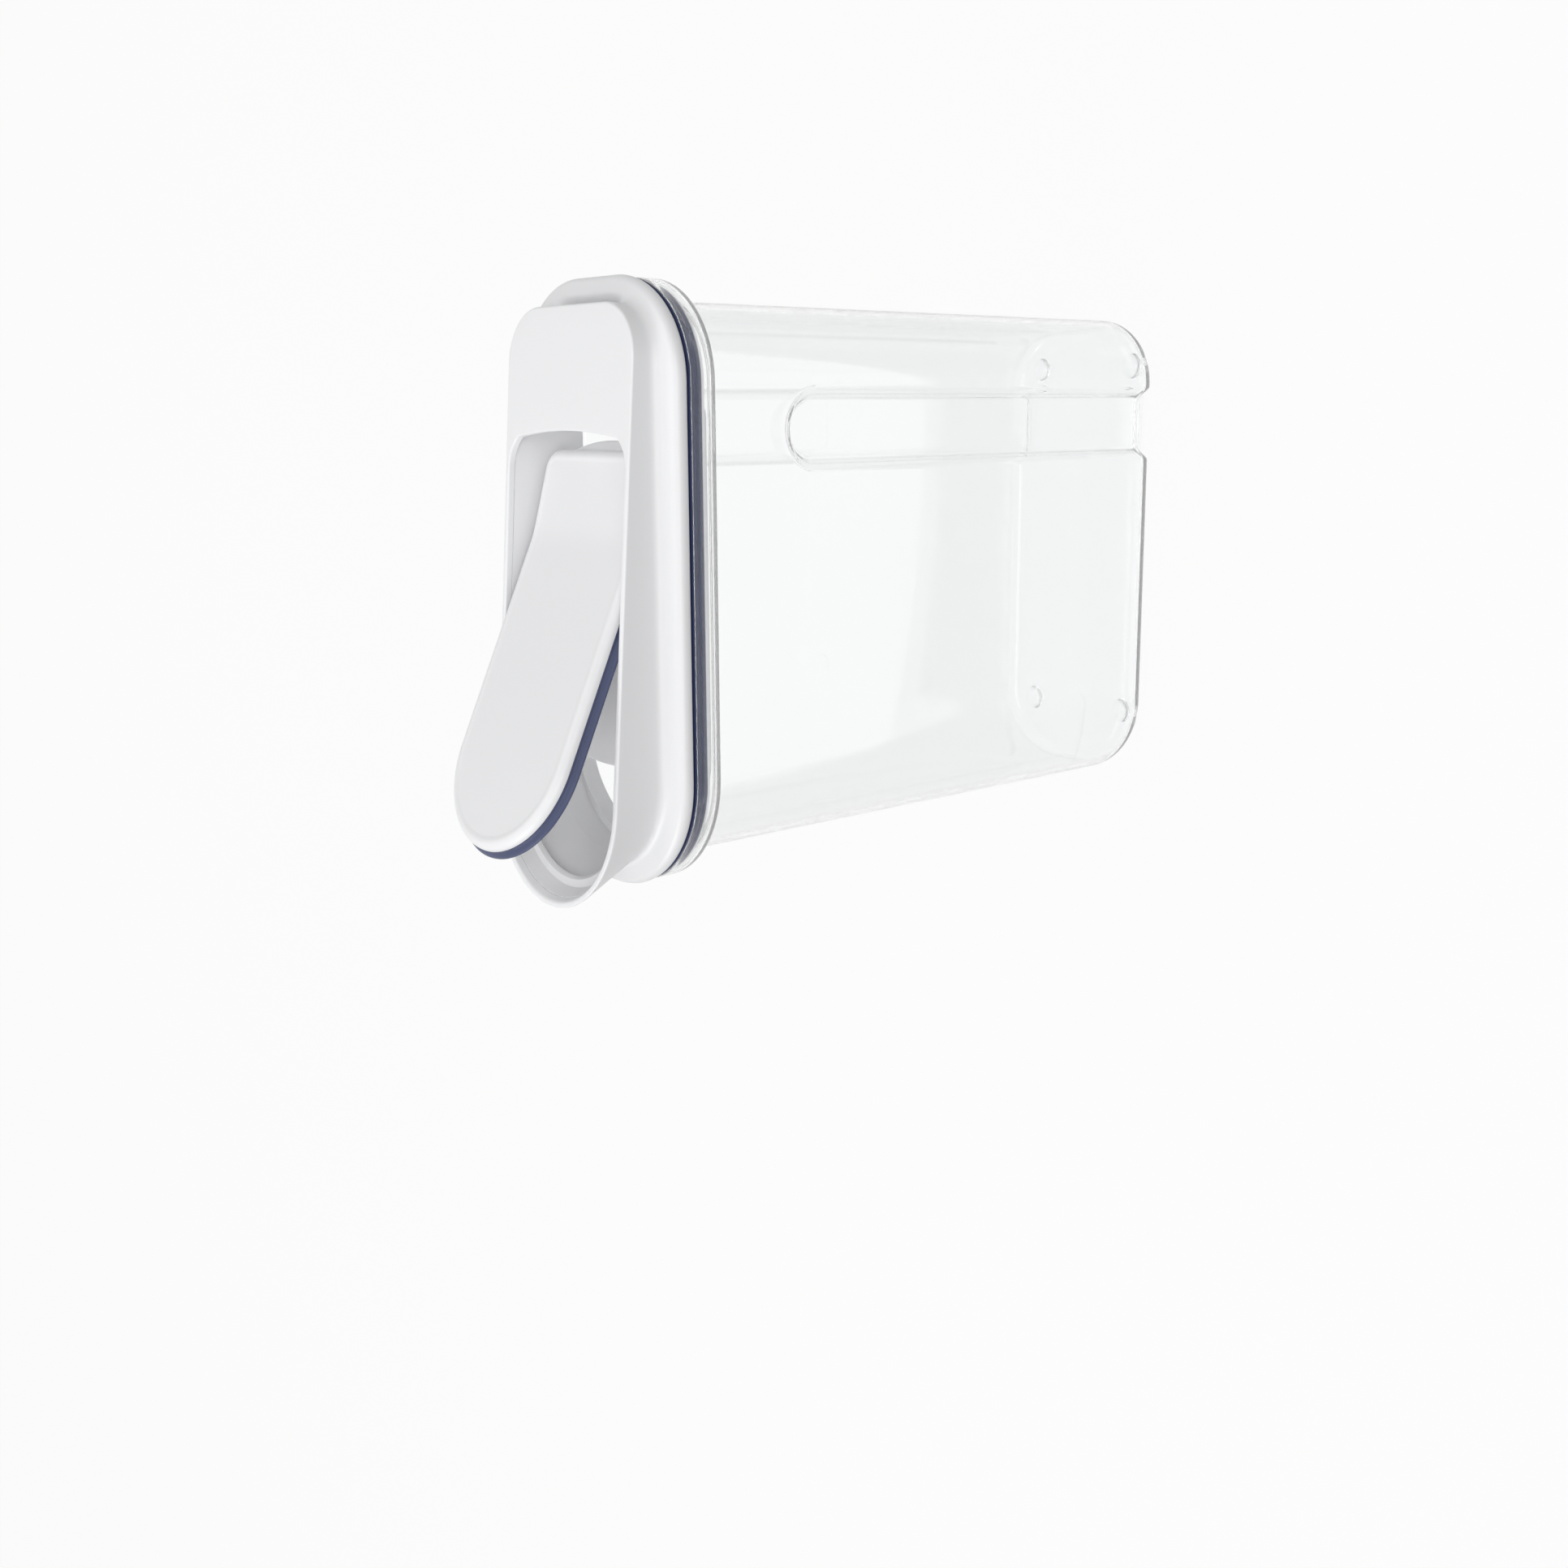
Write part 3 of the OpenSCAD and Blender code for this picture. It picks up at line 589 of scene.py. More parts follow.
@dataclass(frozen=True)
class Container:
    """Clear body with its flared rim, finger channels and feet."""

    plans: Plans
    base_z: float = 1.8
    base_r: float = 6
    taper: float = 1.2
    wall: float = 2.6
    floor_t: float = 3.2
    shoulder_z: float = 256.5
    rim_out: float = 8
    rim_t: float = 2.3
    rim_z: float = 273
    grip_x: float = -59
    grip_r: float = 16.5
    grip_z: float = 204.5
    grip_depth: float = 5.6
    grip_slope: float = 5.5
    side_y: float = 35  # a channel is pressed only into faces further out than this
    side_ease: float = 3
    foot_r: float = 5.5
    foot_flat: float = 1.6
    feet_x: tuple = (-84.5, 75.5)
    feet_y: tuple = (-27.5, 27.5)
    spine_x: tuple = (-82, 70)

    def ring(self, d: float) -> Array:
        """Half ring of the body with close columns across the finger channels."""
        p = self.plans
        hx, hy = p.length / 2, p.width / 2
        bx, by, fx, fy = p.back_r - hx, hy - p.back_r, hx - p.front_r, hy - p.front_r
        xs = np.concatenate([np.arange(bx, self.grip_x + 20, 0.55),
                             np.linspace(self.grip_x + 20, fx, 36, endpoint=False)])
        return np.concatenate([
            line((-hx - d, 0), (-hx - d, by), 12), arc(bx, by, p.back_r + d, 180, 90, 30),
            np.stack([xs, np.full(len(xs), hy + d)], 1),
            arc(fx, fy, p.front_r + d, 90, 0, 40), line((hx + d, fy), (hx + d, 0), 8, True)])

    def channel(self, x: Array, z: float) -> Array:
        """Depth of a finger channel: a smooth step over its slope, round at the top."""
        out = np.hypot(x - self.grip_x, max(z - self.grip_z, 0))
        t = np.clip((self.grip_r - out) / self.grip_slope, 0, 1)
        return self.grip_depth * t * t * (3 - 2 * t)

    def profile(self) -> Array:
        """Outer face from the base to the rim, over it and down the inner face, as (d, z)."""
        b, t = self.base_z, self.taper
        cove = self.base_r - self.wall
        inner_z = b + self.floor_t + cove
        s = self.shoulder_z
        grip = np.concatenate([np.linspace(16, self.grip_z - 6, 22),
                               np.arange(self.grip_z - 5, self.grip_z + 19, 0.8),
                               np.linspace(self.grip_z + 22, s - 2, 8)])
        lean = (grip - b - self.base_r) / (s - b - self.base_r)
        u = np.linspace(0, 1, 12)
        ease = u * u * (3 - 2 * u)
        outer = [arc(-self.base_r - t, b + self.base_r, self.base_r, -90, 0, 12, True),
                 np.stack([-t * (1 - lean), grip], 1),
                 np.stack([self.rim_out * ease, s + 6.4 * u], 1)[:-1],
                 line((self.rim_out, s + 6.6), (self.rim_out, self.rim_z - 0.4), 5),
                 arc(self.rim_out - 0.4, self.rim_z - 0.4, 0.4, 0, 90, 5)]
        width = self.rim_out - self.rim_t
        inner = [arc(width + 0.5, self.rim_z - 0.5, 0.5, 90, 180, 4, True),
                 line((width, self.rim_z - 2), (width, s + 7.6), 4),
                 np.stack([width - (width + self.wall) * ease, s + 7.2 - 6.4 * u], 1),
                 np.stack([-t * (1 - lean) - self.wall, grip], 1)[::-1],
                 arc(-self.base_r - t, inner_z, cove, 0, -90, 10, True)]
        return np.concatenate(outer + inner)

    def build(self, clear: bpy.types.Material) -> None:
        """Sweeps the profile round the plan and presses the channels into both faces."""
        rings = []
        for d, z in self.profile():
            half = raised(self.ring(d), z)
            flat = np.clip((half[:, 1] - self.side_y) / self.side_ease, 0, 1)
            half[:, 1] -= flat * self.channel(half[:, 0], z)
            rings.append(whole(half))
        first = spine(rings[0], *self.spine_x, 8)[::-1]
        last = spine(rings[-1], *self.spine_x, 8)
        make("container_body", [lattice(first + rings + last, False)], clear, Body.CONTAINER,
             Slot.CLEAR, "container")

    def feet(self, clear: bpy.types.Material) -> None:
        """Domed feet: a spherical cap cut flat where it rests, with a closed top."""
        h = self.base_z
        dome = (self.foot_r ** 2 - self.foot_flat ** 2 + h * h) / (2 * h)
        ball = math.hypot(dome, self.foot_flat)
        a = np.linspace(math.asin(self.foot_flat / ball), math.asin(self.foot_r / ball), 12)
        side = np.stack([ball * np.sin(a), dome - ball * np.cos(a)], 1)
        cap = np.array([[self.foot_r - 0.3, h + 0.02], [0, h + 0.02]])
        profile = np.concatenate([[[0, 0]], side, cap])
        shells = [revolve(profile, (x, y, 0), "z", 40)
                  for x in self.feet_x for y in self.feet_y]
        make("container_feet", shells, clear, Body.CONTAINER, Slot.CLEAR, "foot_pads")


@dataclass(frozen=True)
class Lid:
    """White lid shell with collar, pad, pour lip and finger recess, its plug and gasket."""

    plans: Plans
    skirt_z: float = 273.5
    edge_z: float = 277.25
    edge_d: float = 5.45
    edge_r: float = 3.3
    fillet: float = 4
    pad_t: float = 3
    rim_round: float = 0.9
    mouth_round: float = 0.8
    recess_z: float = 286.6
    recess_back: float = 4.5
    recess_r: float = 8
    recess_half: float = 20
    recess_ease: float = 9
    recess_out: float = 4.2  # where the recess starts on the deck
    recess_foot: float = 281.3
    skin: float = 2.5
    ledge: float = 3
    ledge_x: float = 13.6
    plug_low: float = 265.3
    plug_top: float = 267.8
    duct_low: float = 259.8

    def recess_share(self, y: Array) -> Array:
        """How much of the finger recess a column has: 1 in its middle, eased out to its ends."""
        ease = self.recess_ease
        past = np.clip((np.abs(y) - self.recess_half + ease) / (self.recess_r + ease), 0, 1)
        return 1 - past * past * (3 - 2 * past)

    def wall_rings(self) -> list[Array]:
        """Half rings from the deck up the collar to its top, through the finger recess.

        Without the recess a column runs along the deck, up a quarter arc of the fillet's
        radius and up the wall. With it, it follows a circle under the pad's back edge and
        comes back below the pad. The two paths have the same number of points and are mixed.

        Returns:
            The half rings, each (columns, 3).
        """
        p = self.plans
        foot = p.collar(0, p.lip_foot_z + 2.3)
        for _ in range(4):
            foot = p.collar(0, p.deck(foot))
        outward = p.collar(-1, p.deck(foot)) - foot
        top = p.on_plane(p.collar, 0, self.pad_t + 0.3)
        r = np.minimum(self.fillet - 1.4 * np.clip((foot[:, 0] - 80) / 20, 0, 1),
                       0.8 * (top[:, 2] - p.deck(foot)))
        share = (self.recess_share(foot[:, 1]) * (foot[:, 0] < -80))[:, None]
        steps = 13
        a = np.linspace(0, math.pi / 2, steps)
        plain = []
        for k in range(steps):
            out, up = r * (1 - math.sin(a[k])), r * (1 - math.cos(a[k]))
            plan = p.collar(0, p.deck(foot) + up) + outward * out[:, None]
            plain.append(raised(plan, p.deck(plan) + up))
        low = plain[-1]
        for t in np.linspace(0, 1, 18)[1:]:
            z = low[:, 2] * (1 - t) + top[:, 2] * t
            plain.append(raised(p.collar(0, z), z))
        swing = np.linspace(math.radians(-70), -math.pi - math.asin(0.7 / self.recess_r), 17)
        bowl = [(self.recess_r * math.cos(b) - self.recess_back,
                 self.recess_z + self.recess_r * math.sin(b)) for b in swing]
        ease = [(1 - u) ** 2 * (1 + 2 * u) for u in np.linspace(0, 1, 8)[:-1]]
        (x0, z0), out, low_z = bowl[0], self.recess_out, self.recess_foot
        bowl = [(out + (x0 - out) * k / 7, z0 + (low_z - z0) * e)
                for k, e in enumerate(ease)] + bowl
        ceiling = [(bowl[-1][0] * (1 - t) - 0.35 * t, None) for t in np.linspace(0, 1, 7)[1:]]
        rings = []
        for ring, (out, z) in zip(plain, bowl + ceiling, strict=True):
            cut_plan = foot + outward * out
            height = p.plane(cut_plan[:, 0], self.pad_t) if z is None else z
            rings.append(ring * (1 - share) + raised(cut_plan, height) * share)
        start = rings[0]
        edge_ring = p.body(p.deck_run)
        deck = []
        for t in np.linspace(0, 1, 9)[1:-1]:
            plan = edge_ring * (1 - t) + start[:, :2] * t
            deck.append(raised(plan, p.deck(plan)))
        return deck + rings

    def build(self, white: bpy.types.Material) -> None:
        """Closes the shell: edge, deck, collar, pad, opening, duct and underside in one loop."""
        p = self.plans
        tangent = 90 - math.degrees(math.atan2(self.edge_d, self.edge_z - p.deck_z + p.deck_r))
        halves = [raised(p.body(d), z) for d, z in
                  arc(self.edge_d, self.edge_z, self.edge_r, -90, tangent, 26, True)]
        halves += self.wall_rings()
        r = self.rim_round
        halves += [p.on_plane(p.collar, 0, drop) for drop in (self.pad_t - 0.15, 2.0)]
        halves += [p.on_plane(p.collar, r * (1 - math.cos(a)), r * (1 - math.sin(a)))
                   for a in np.radians(np.linspace(0, 90, 7))]
        outer, m = halves[-1], self.mouth_round
        inner = p.on_plane(p.mouth, m, 0)
        halves += [outer * (1 - t) + inner * t for t in np.linspace(0, 1, 7)[1:-1]]
        halves += [p.on_plane(p.mouth, m * (1 - math.sin(a)), m * (1 - math.cos(a)))
                   for a in np.radians(np.linspace(0, 90, 7))]
        halves += [p.on_plane(p.mouth, 0, 2.6), p.on_plane(p.mouth, 0.4, 3.0)]
        halves += [p.on_plane(p.leaning_duct, 0, drop) for drop in (3.02, 5.0, 8.2)]
        for share, drop in ((0.5, 8.2), (0.93, 8.2), (1, 8.5), (1, 9.9), (0.93, 10.2), (0, 10.2)):
            ring = p.on_plane(p.leaning_duct, 0, drop)
            tight = p.on_plane(p.leaning_duct, -self.ledge, drop)
            part = share * np.clip((ring[:, :1] - self.ledge_x) / 0.8, 0, 1)
            halves.append(ring * (1 - part) + tight * part)
        low = self.plug_top
        halves += [raised(p.duct(0, p.foot_arc), 279.02), raised(p.duct(0, p.duct_arc), 279),
                   raised(p.duct(0, p.duct_arc), low), raised(p.duct(2.5, p.duct_arc), low),
                   raised(p.duct(2.5, p.duct_arc), 278.6)]
        start, stop = p.duct(2.5, p.duct_arc), p.body(2)
        for t in np.linspace(0, 1, 14):
            plan = start * (1 - t) + stop * t
            away = (plan[:, 0] - p.pad_back - self.recess_back) ** 2 + np.maximum(
                np.abs(plan[:, 1]) - self.recess_half, 0) ** 2
            bowl = self.recess_z - np.sqrt(np.maximum((self.recess_r + 2) ** 2 - away, 0))
            halves.append(raised(plan, np.minimum(278.8, bowl)))
        halves += [raised(p.body(5.1), 277.6), raised(p.body(5.4), 276.5)]
        make("lid_shell_moulding", [lattice([whole(h) for h in halves], True)], white,
             Body.LID, Slot.WHITE, "lid_shell")

    def plug(self, white: bpy.types.Material) -> None:
        """Inner retainer: gasket rim, plate and the duct's skirt, in one loop."""
        p, low, top = self.plans, self.plug_low, self.plug_top
        rim = [(0.7, top), (0.7, 273.7), (1.0, 274.0), (2.85, 274.0), (3.1, 273.7),
               (3.15, low + 1.6), (4.55, low + 1.55), (4.8, low + 1.3), (4.8, low + 0.4),
               (4.4, low), (1.0, low)]
        halves = [raised(p.body(d), z) for d, z in rim]
        skirt = [(2.5, low), (2.5, self.duct_low + 0.5), (2.0, self.duct_low),
                 (0.5, self.duct_low), (0, self.duct_low + 0.5), (0, top)]
        edge, hole = p.body(1.0), p.duct(2.5, p.skirt_arc)
        halves += [raised(edge * (1 - t) + hole * t, low) for t in (0.25, 0.5, 0.75)]
        halves += [raised(p.duct(d, p.skirt_arc), z) for d, z in skirt]
        edge, hole = p.body(0.7), p.duct(0, p.skirt_arc)
        halves += [raised(hole * (1 - t) + edge * t, top) for t in (0.25, 0.5, 0.75)]
        make("lid_plug_moulding", [lattice([whole(h) for h in halves], True)], white, Body.LID,
             Slot.WHITE, "lid_plug")

    def gasket(self, blue: bpy.types.Material) -> None:
        """Ring of three beads, raised cosines between grooves, under a thin flange."""
        z = np.linspace(266.95, 272.9, 46)
        bead = 0.5 - 0.5 * np.cos((z - z[0]) / (z[-1] - z[0]) * 6 * math.pi)
        outer = np.stack([5.05 + 0.45 * bead ** 0.7, z], 1)
        flange = [[5.1, 273.05], [7.6, 273.05], [7.9, 273.25], [7.9, 273.7], [7.6, 273.9],
                  [3.2, 273.9]]
        profile = np.concatenate([[[3.2, z[0]]], outer, flange])
        make("lid_gasket_ring", [lattice([whole(raised(self.plans.body(d), h))
             for d, h in profile], True)], blue, Body.LID, Slot.BLUE, "lid_gasket", sharp=50)


@dataclass(frozen=True)
class PourGuide:
    """Hollow plate between the duct's sides, on two cheeks with snap buttons."""

    plans: Plans
    back_x: float = 18
    front_x: float = 69
    front_r: float = 75
    half_w: float = 38.7
    top_z: float = 279.14
    hollow_r: float = 200
    thick: float = 1.8
    cheek_low: float = 260.8
    cheek_top: float = 283.1
    cheek_x: float = 44

    def build(self, white: bpy.types.Material) -> None:
        """Plate: for each y a section with a round nose, lifted by the circle of the hollow."""
        y = self.half_w * np.sin(np.linspace(-math.pi / 2, math.pi / 2, 61))
        nose = self.front_x - self.front_r + np.sqrt(self.front_r ** 2 - y ** 2)
        lift = self.top_z + self.hollow_r - np.sqrt(self.hollow_r ** 2 - y ** 2)
        r = self.thick / 2
        a = np.radians(np.linspace(90, -90, 13))
        t = np.linspace(0, 1, 12, endpoint=False)
        rings = []
        for at, x, z in zip(y, nose, lift):
            run = x - r - self.back_x
            sx = np.concatenate([self.back_x + run * t, x - r + r * np.cos(a),
                                 self.back_x + run * t[::-1]])
            sz = np.concatenate([np.full(12, z), z - r + r * np.sin(a), np.full(12, z - 2 * r)])
            rings.append(np.column_stack([sx, np.full(len(sx), at), sz]))
        shells = [capped(rings)]
        for side in (-1, 1):
            shells.append(self.cheek(side))
            for x in (self.back_x + 5, self.cheek_x - 5):
                face = side * (self.half_w - 0.05)
                shells.append(revolve(np.array([[0, 0], [1.6, 0], [1.6, side * 0.2],
                                                [1.3, side * 0.33], [0, side * 0.33]]),
                                      (x, face, 266.55), "y", 32))
        make("pour_guide_plate", shells, white, Body.LID, Slot.WHITE, "pour_guide")

    def cheek(self, side: int) -> tuple[Array, Array]:
        """Upright plate with round corners and soft edges: its outline at four places in y."""
        r, lo, hi = 3.0, self.cheek_low, self.cheek_top
        x0, x1 = self.back_x, self.cheek_x
        rings = []
        for inset, at in ((0.3, 0), (0, 0.3), (0, self.thick - 0.3), (0.3, self.thick)):
            q = r - inset
            plan = np.concatenate([arc(x0 + r, lo + r, q, 180, 270, 10, True),
                                   arc(x1 - r, lo + r, q, 270, 360, 10, True),
                                   arc(x1 - r, hi - r, q, 0, 90, 10, True),
                                   arc(x0 + r, hi - r, q, 90, 180, 10, True)])
            y = np.full(len(plan), side * (self.half_w - at))
            rings.append(np.column_stack([plan[:, 0], y, plan[:, 1]]))
        return capped(rings)


@dataclass(frozen=True)
class FlipCover:
    """Rocking cover: rolled shell with its press tab, gasket and inner plate with the ears."""

    hinge_x: float = 6.4
    hinge_z: float = 283.1371
    angle: float = 24.3
    half_w: float = 36.5
    tip: float = 101.5
    top: float = 15
    side_w: float = 11.2
    bend_at: float = 22
    bend_r: float = 60
    bend: float = 9
    tab: float = 34
    tab_r: float = 8
    roll: float = 3.5
    dish: float = 0.25
    skin: float = 2
    rear: float = -57.03
    plate_w: float = 7.7
    strip: float = 0.7
    band_w: float = 8.4
    ear_r: float = 4.2
    ear_t: float = 3.6
    ear_out: float = 38.6
    bore_r: float = 2.06
    pin_r: float = 2
    pin_end: float = 40.9
    crescent_hw: float = 26
    crescent_r: float = 76
    crescent_reach: float = 38.6
    crescent_root: float = 32.6
    crescent_drop: float = 6  # middle of the crescent below the top's face

    @property
    def tangent(self) -> float:
        """Length from the bend's corner to where its arc starts."""
        return self.bend_r * math.tan(math.radians(self.bend) / 2)

    def lift(self, ring: Array) -> Array:
        """Turns points of the cover's own frame about the hinge into the open pose."""
        a = math.radians(self.angle)
        u, y, w = ring.T
        return np.stack([self.hinge_x + u * math.cos(a) - w * math.sin(a), y,
                         self.hinge_z + u * math.sin(a) + w * math.cos(a)], 1)

    def bent(self, flat: Array, h: Array | float) -> Array:
        """Bends points (s, y) lying h above the top: straight, an arc, then straight again.

        Args:
            flat: length along the top from the hinge's normal, and y.
            h: height above the top's face, along its normal.

        Returns:
            The points in the cover's frame.
        """
        s = flat[:, 0]
        s0 = self.tangent - self.bend_at
        turn = np.clip((s0 - s) / self.bend_r, 0, math.radians(self.bend))
        rest = np.maximum(s0 - s - self.bend_r * math.radians(self.bend), 0)
        u = np.maximum(s, s0) - self.bend_r * np.sin(turn) - rest * np.cos(turn)
        w = self.top + self.bend_r * (1 - np.cos(turn)) + rest * np.sin(turn)
        return np.stack([u + h * np.sin(turn), flat[:, 1], w + h * np.cos(turn)], 1)

    def foot(self, flat: Array, w: float) -> Array:
        """How far below the top's face the plane at w lies, along the face's normal."""
        face, under = self.bent(flat, 0.0), self.bent(flat, -1.0)
        return (w - face[:, 2]) / (face[:, 2] - under[:, 2])

    def outline(self, d: float, back: float, r: float) -> Array:
        """Half ring moved in by d: straight back, round corner, side and round tip."""
        hw, cx = self.half_w, self.tip - self.half_w
        return np.concatenate([
            line((back + d, 0), (back + d, hw - r), 18), arc(back + r, hw - r, r - d, 180, 90, 20),
            line((back + r, hw - d), (cx, hw - d), 90), arc(cx, 0, hw - d, 90, 0, 64, True)])

    def shell(self) -> list[Array]:
        """Rings of the cover's moulding, from the top's middle line round to the inner one."""
        s0 = self.tangent - self.bend_at
        back = s0 - self.bend_r * math.radians(self.bend) - (self.tab - self.tangent)
        steps = np.radians(np.linspace(90, 0, 13))
        dish = [(self.roll + 2.0, -self.dish), (self.roll + 1.5, -0.9 * self.dish),
                (self.roll + 0.9, -0.45 * self.dish), (self.roll + 0.45, -0.1 * self.dish)]
        outer = dish + [(self.roll * (1 - math.cos(a)), -self.roll * (1 - math.sin(a)))
                        for a in steps]
        q = self.roll - self.skin
        inner = [(self.roll - q * math.cos(a), -self.roll + q * math.sin(a)) for a in steps[::-1]]
        edge = self.outline(outer[0][0], back, self.tab_r)
        flats = [(r[:, :2], -self.dish) for r in spine(raised(edge, 0), -38, 65, 12)[::-1]]
        flats += [(self.outline(d, back, self.tab_r), h) for d, h in outer]
        for d, up in ((0, 0.25), (0.25, 0.0), (self.skin - 0.2, 0.0), (self.skin, 0.2)):
            plan = self.outline(d, back, self.tab_r)
            flats.append((plan, self.foot(plan, self.side_w + up)))
        flats += [(self.outline(d, back, self.tab_r), h) for d, h in inner]
        edge = self.outline(self.roll, back, self.tab_r)
        flats += [(r[:, :2], -self.skin) for r in spine(raised(edge, 0), -38, 65, 8)]
        return [whole(self.lift(self.bent(plan, h))) for plan, h in flats]

    def flange(self) -> tuple[Array, Array]:
        """Crescent behind the press tab: for each y a section from the wall to a circle."""
        y = self.crescent_hw * np.sin(np.linspace(-math.pi / 2, math.pi / 2, 41))
        reach = self.crescent_reach - self.crescent_r + np.sqrt(self.crescent_r ** 2 - y ** 2)
        a = np.radians(np.linspace(90, 270, 9))
        s0 = self.tangent - self.bend_at - self.bend_r * math.radians(self.bend)
        base = s0 + self.tangent
        rings = []
        for at, out in zip(y, reach):
            root, mid = base - self.crescent_root, -self.crescent_drop
            s = np.concatenate([[root], base - out + 1 + np.cos(a), [root]])
            h = np.concatenate([[mid + 1], mid + np.sin(a), [mid - 1]])
            rings.append(self.lift(self.bent(np.stack([s, np.full(len(s), at)], 1), h)))
        return capped(rings)

    def under(self, d: float, w: float) -> Array:
        """Closed ring of the underside moved in by d, at height w of the cover's frame."""
        return raised(self.outline(d, self.rear, self.tab_r), w)

    def build(self, white: bpy.types.Material) -> None:
        """The cover's moulding with the flange behind its tab."""
        make("flip_cover_moulding", [lattice(self.shell(), False), self.flange()], white,
             Body.COVER, Slot.WHITE, "flip_cover")

    def ear(self, side: int) -> tuple[Array, Array]:
        """Hinge ear: outline and bore at both faces, with a soft edge, in one loop."""
        top = self.plate_w + self.strip
        count = 96
        a = np.linspace(0, 2 * math.pi, count, endpoint=False)
        r = self.ear_r
        block = np.minimum(r / np.maximum(np.abs(np.cos(a)), 1e-6),
                           top / np.maximum(np.sin(a), 1e-6))
        far = np.where(np.sin(a) > 0, block, r)
        unit = np.stack([np.cos(a), np.sin(a)], 1)
        rings = []
        for size, bore, at in ((-0.3, 0, 0), (0, 0, 0.3), (0, 0, self.ear_t - 0.3),
                               (-0.3, 0, self.ear_t), (0, 1, self.ear_t), (0, 1, 0)):
            reach = np.full(count, self.bore_r) if bore else far + size
            plan = unit * reach[:, None]
            y = np.full(count, side * (self.ear_out - at))
            rings.append(self.lift(np.column_stack([plan[:, 0], y, plan[:, 1]])))
        return lattice(rings, True)

    def plate(self, white: bpy.types.Material) -> None:
        """Inner plate: thin edge strip, a rib inside the gasket and the two ears."""
        w, s = self.plate_w, self.strip
        halves = [self.under(d, z) for d, z in (
            (6.2, w), (1.0, w), (0.8, w + 0.2), (0.8, w + s - 0.05), (4.4, w + s), (4.4, w + 3.1),
            (4.7, w + 3.4), (5.9, w + 3.4), (6.2, w + 3.1), (6.2, w + 1.7))]
        first = spine(halves[0], -45, 65, 6)[::-1]
        last = spine(halves[-1], -45, 65, 6)
        rings = [whole(self.lift(h)) for h in first + halves + last]
        make("cover_plate_moulding", [lattice(rings, False), self.ear(-1), self.ear(1)], white,
             Body.COVER, Slot.WHITE, "cover_plate")

    def gasket(self, blue: bpy.types.Material) -> None:
        """Blue band: its lip swells out past the cover in front of the hinge."""
        w = self.band_w
        halves = []
        for share, d, up in ((0, 4.1, 0), (0, 1.0, 0), (0.5, 0.3, -0.1), (0.9, 0.3, -0.5),
                             (1, 0.3, -0.35), (1, 0.3, 0.1), (0.75, 0.3, 0.7), (0.35, 0.3, 1.1),
                             (0.1, 0.3, 1.4), (0, 0.3, 1.8), (0, 0.3, 2.55), (0, 0.5, 2.75),
                             (0, 4.1, 2.75)):
            part = share * np.clip((self.under(d, w)[:, :1] - 7.2) / 1.5, 0, 1)
            plain, swollen = self.under(d, w + max(up, 0)), self.under(-1.9, w + up)
            halves.append(plain * (1 - part) + swollen * part)
        make("cover_gasket_band", [lattice([whole(self.lift(h)) for h in halves], True)], blue,
             Body.COVER, Slot.BLUE, "cover_gasket", sharp=50)

    def pins(self, white: bpy.types.Material) -> None:
        """Hinge pins with chamfered ends."""
        for side, word in ((1, "left"), (-1, "right")):
            inner, outer = self.ear_out - self.ear_t - 0.4, self.pin_end
            r, bevel = self.pin_r, 0.3
            profile = np.array([[0, inner], [r - bevel, inner], [r, inner + bevel],
                                [r, outer - bevel], [r - bevel, outer], [0, outer]])
            profile[:, 1] *= side
            make(f"hinge_pin_{word}_turned",
                 [revolve(profile, (self.hinge_x, 0, self.hinge_z), "y", 40)], white, Body.LID,
                 Slot.WHITE, f"hinge_pin_{word}")


# ---------- studio ----------


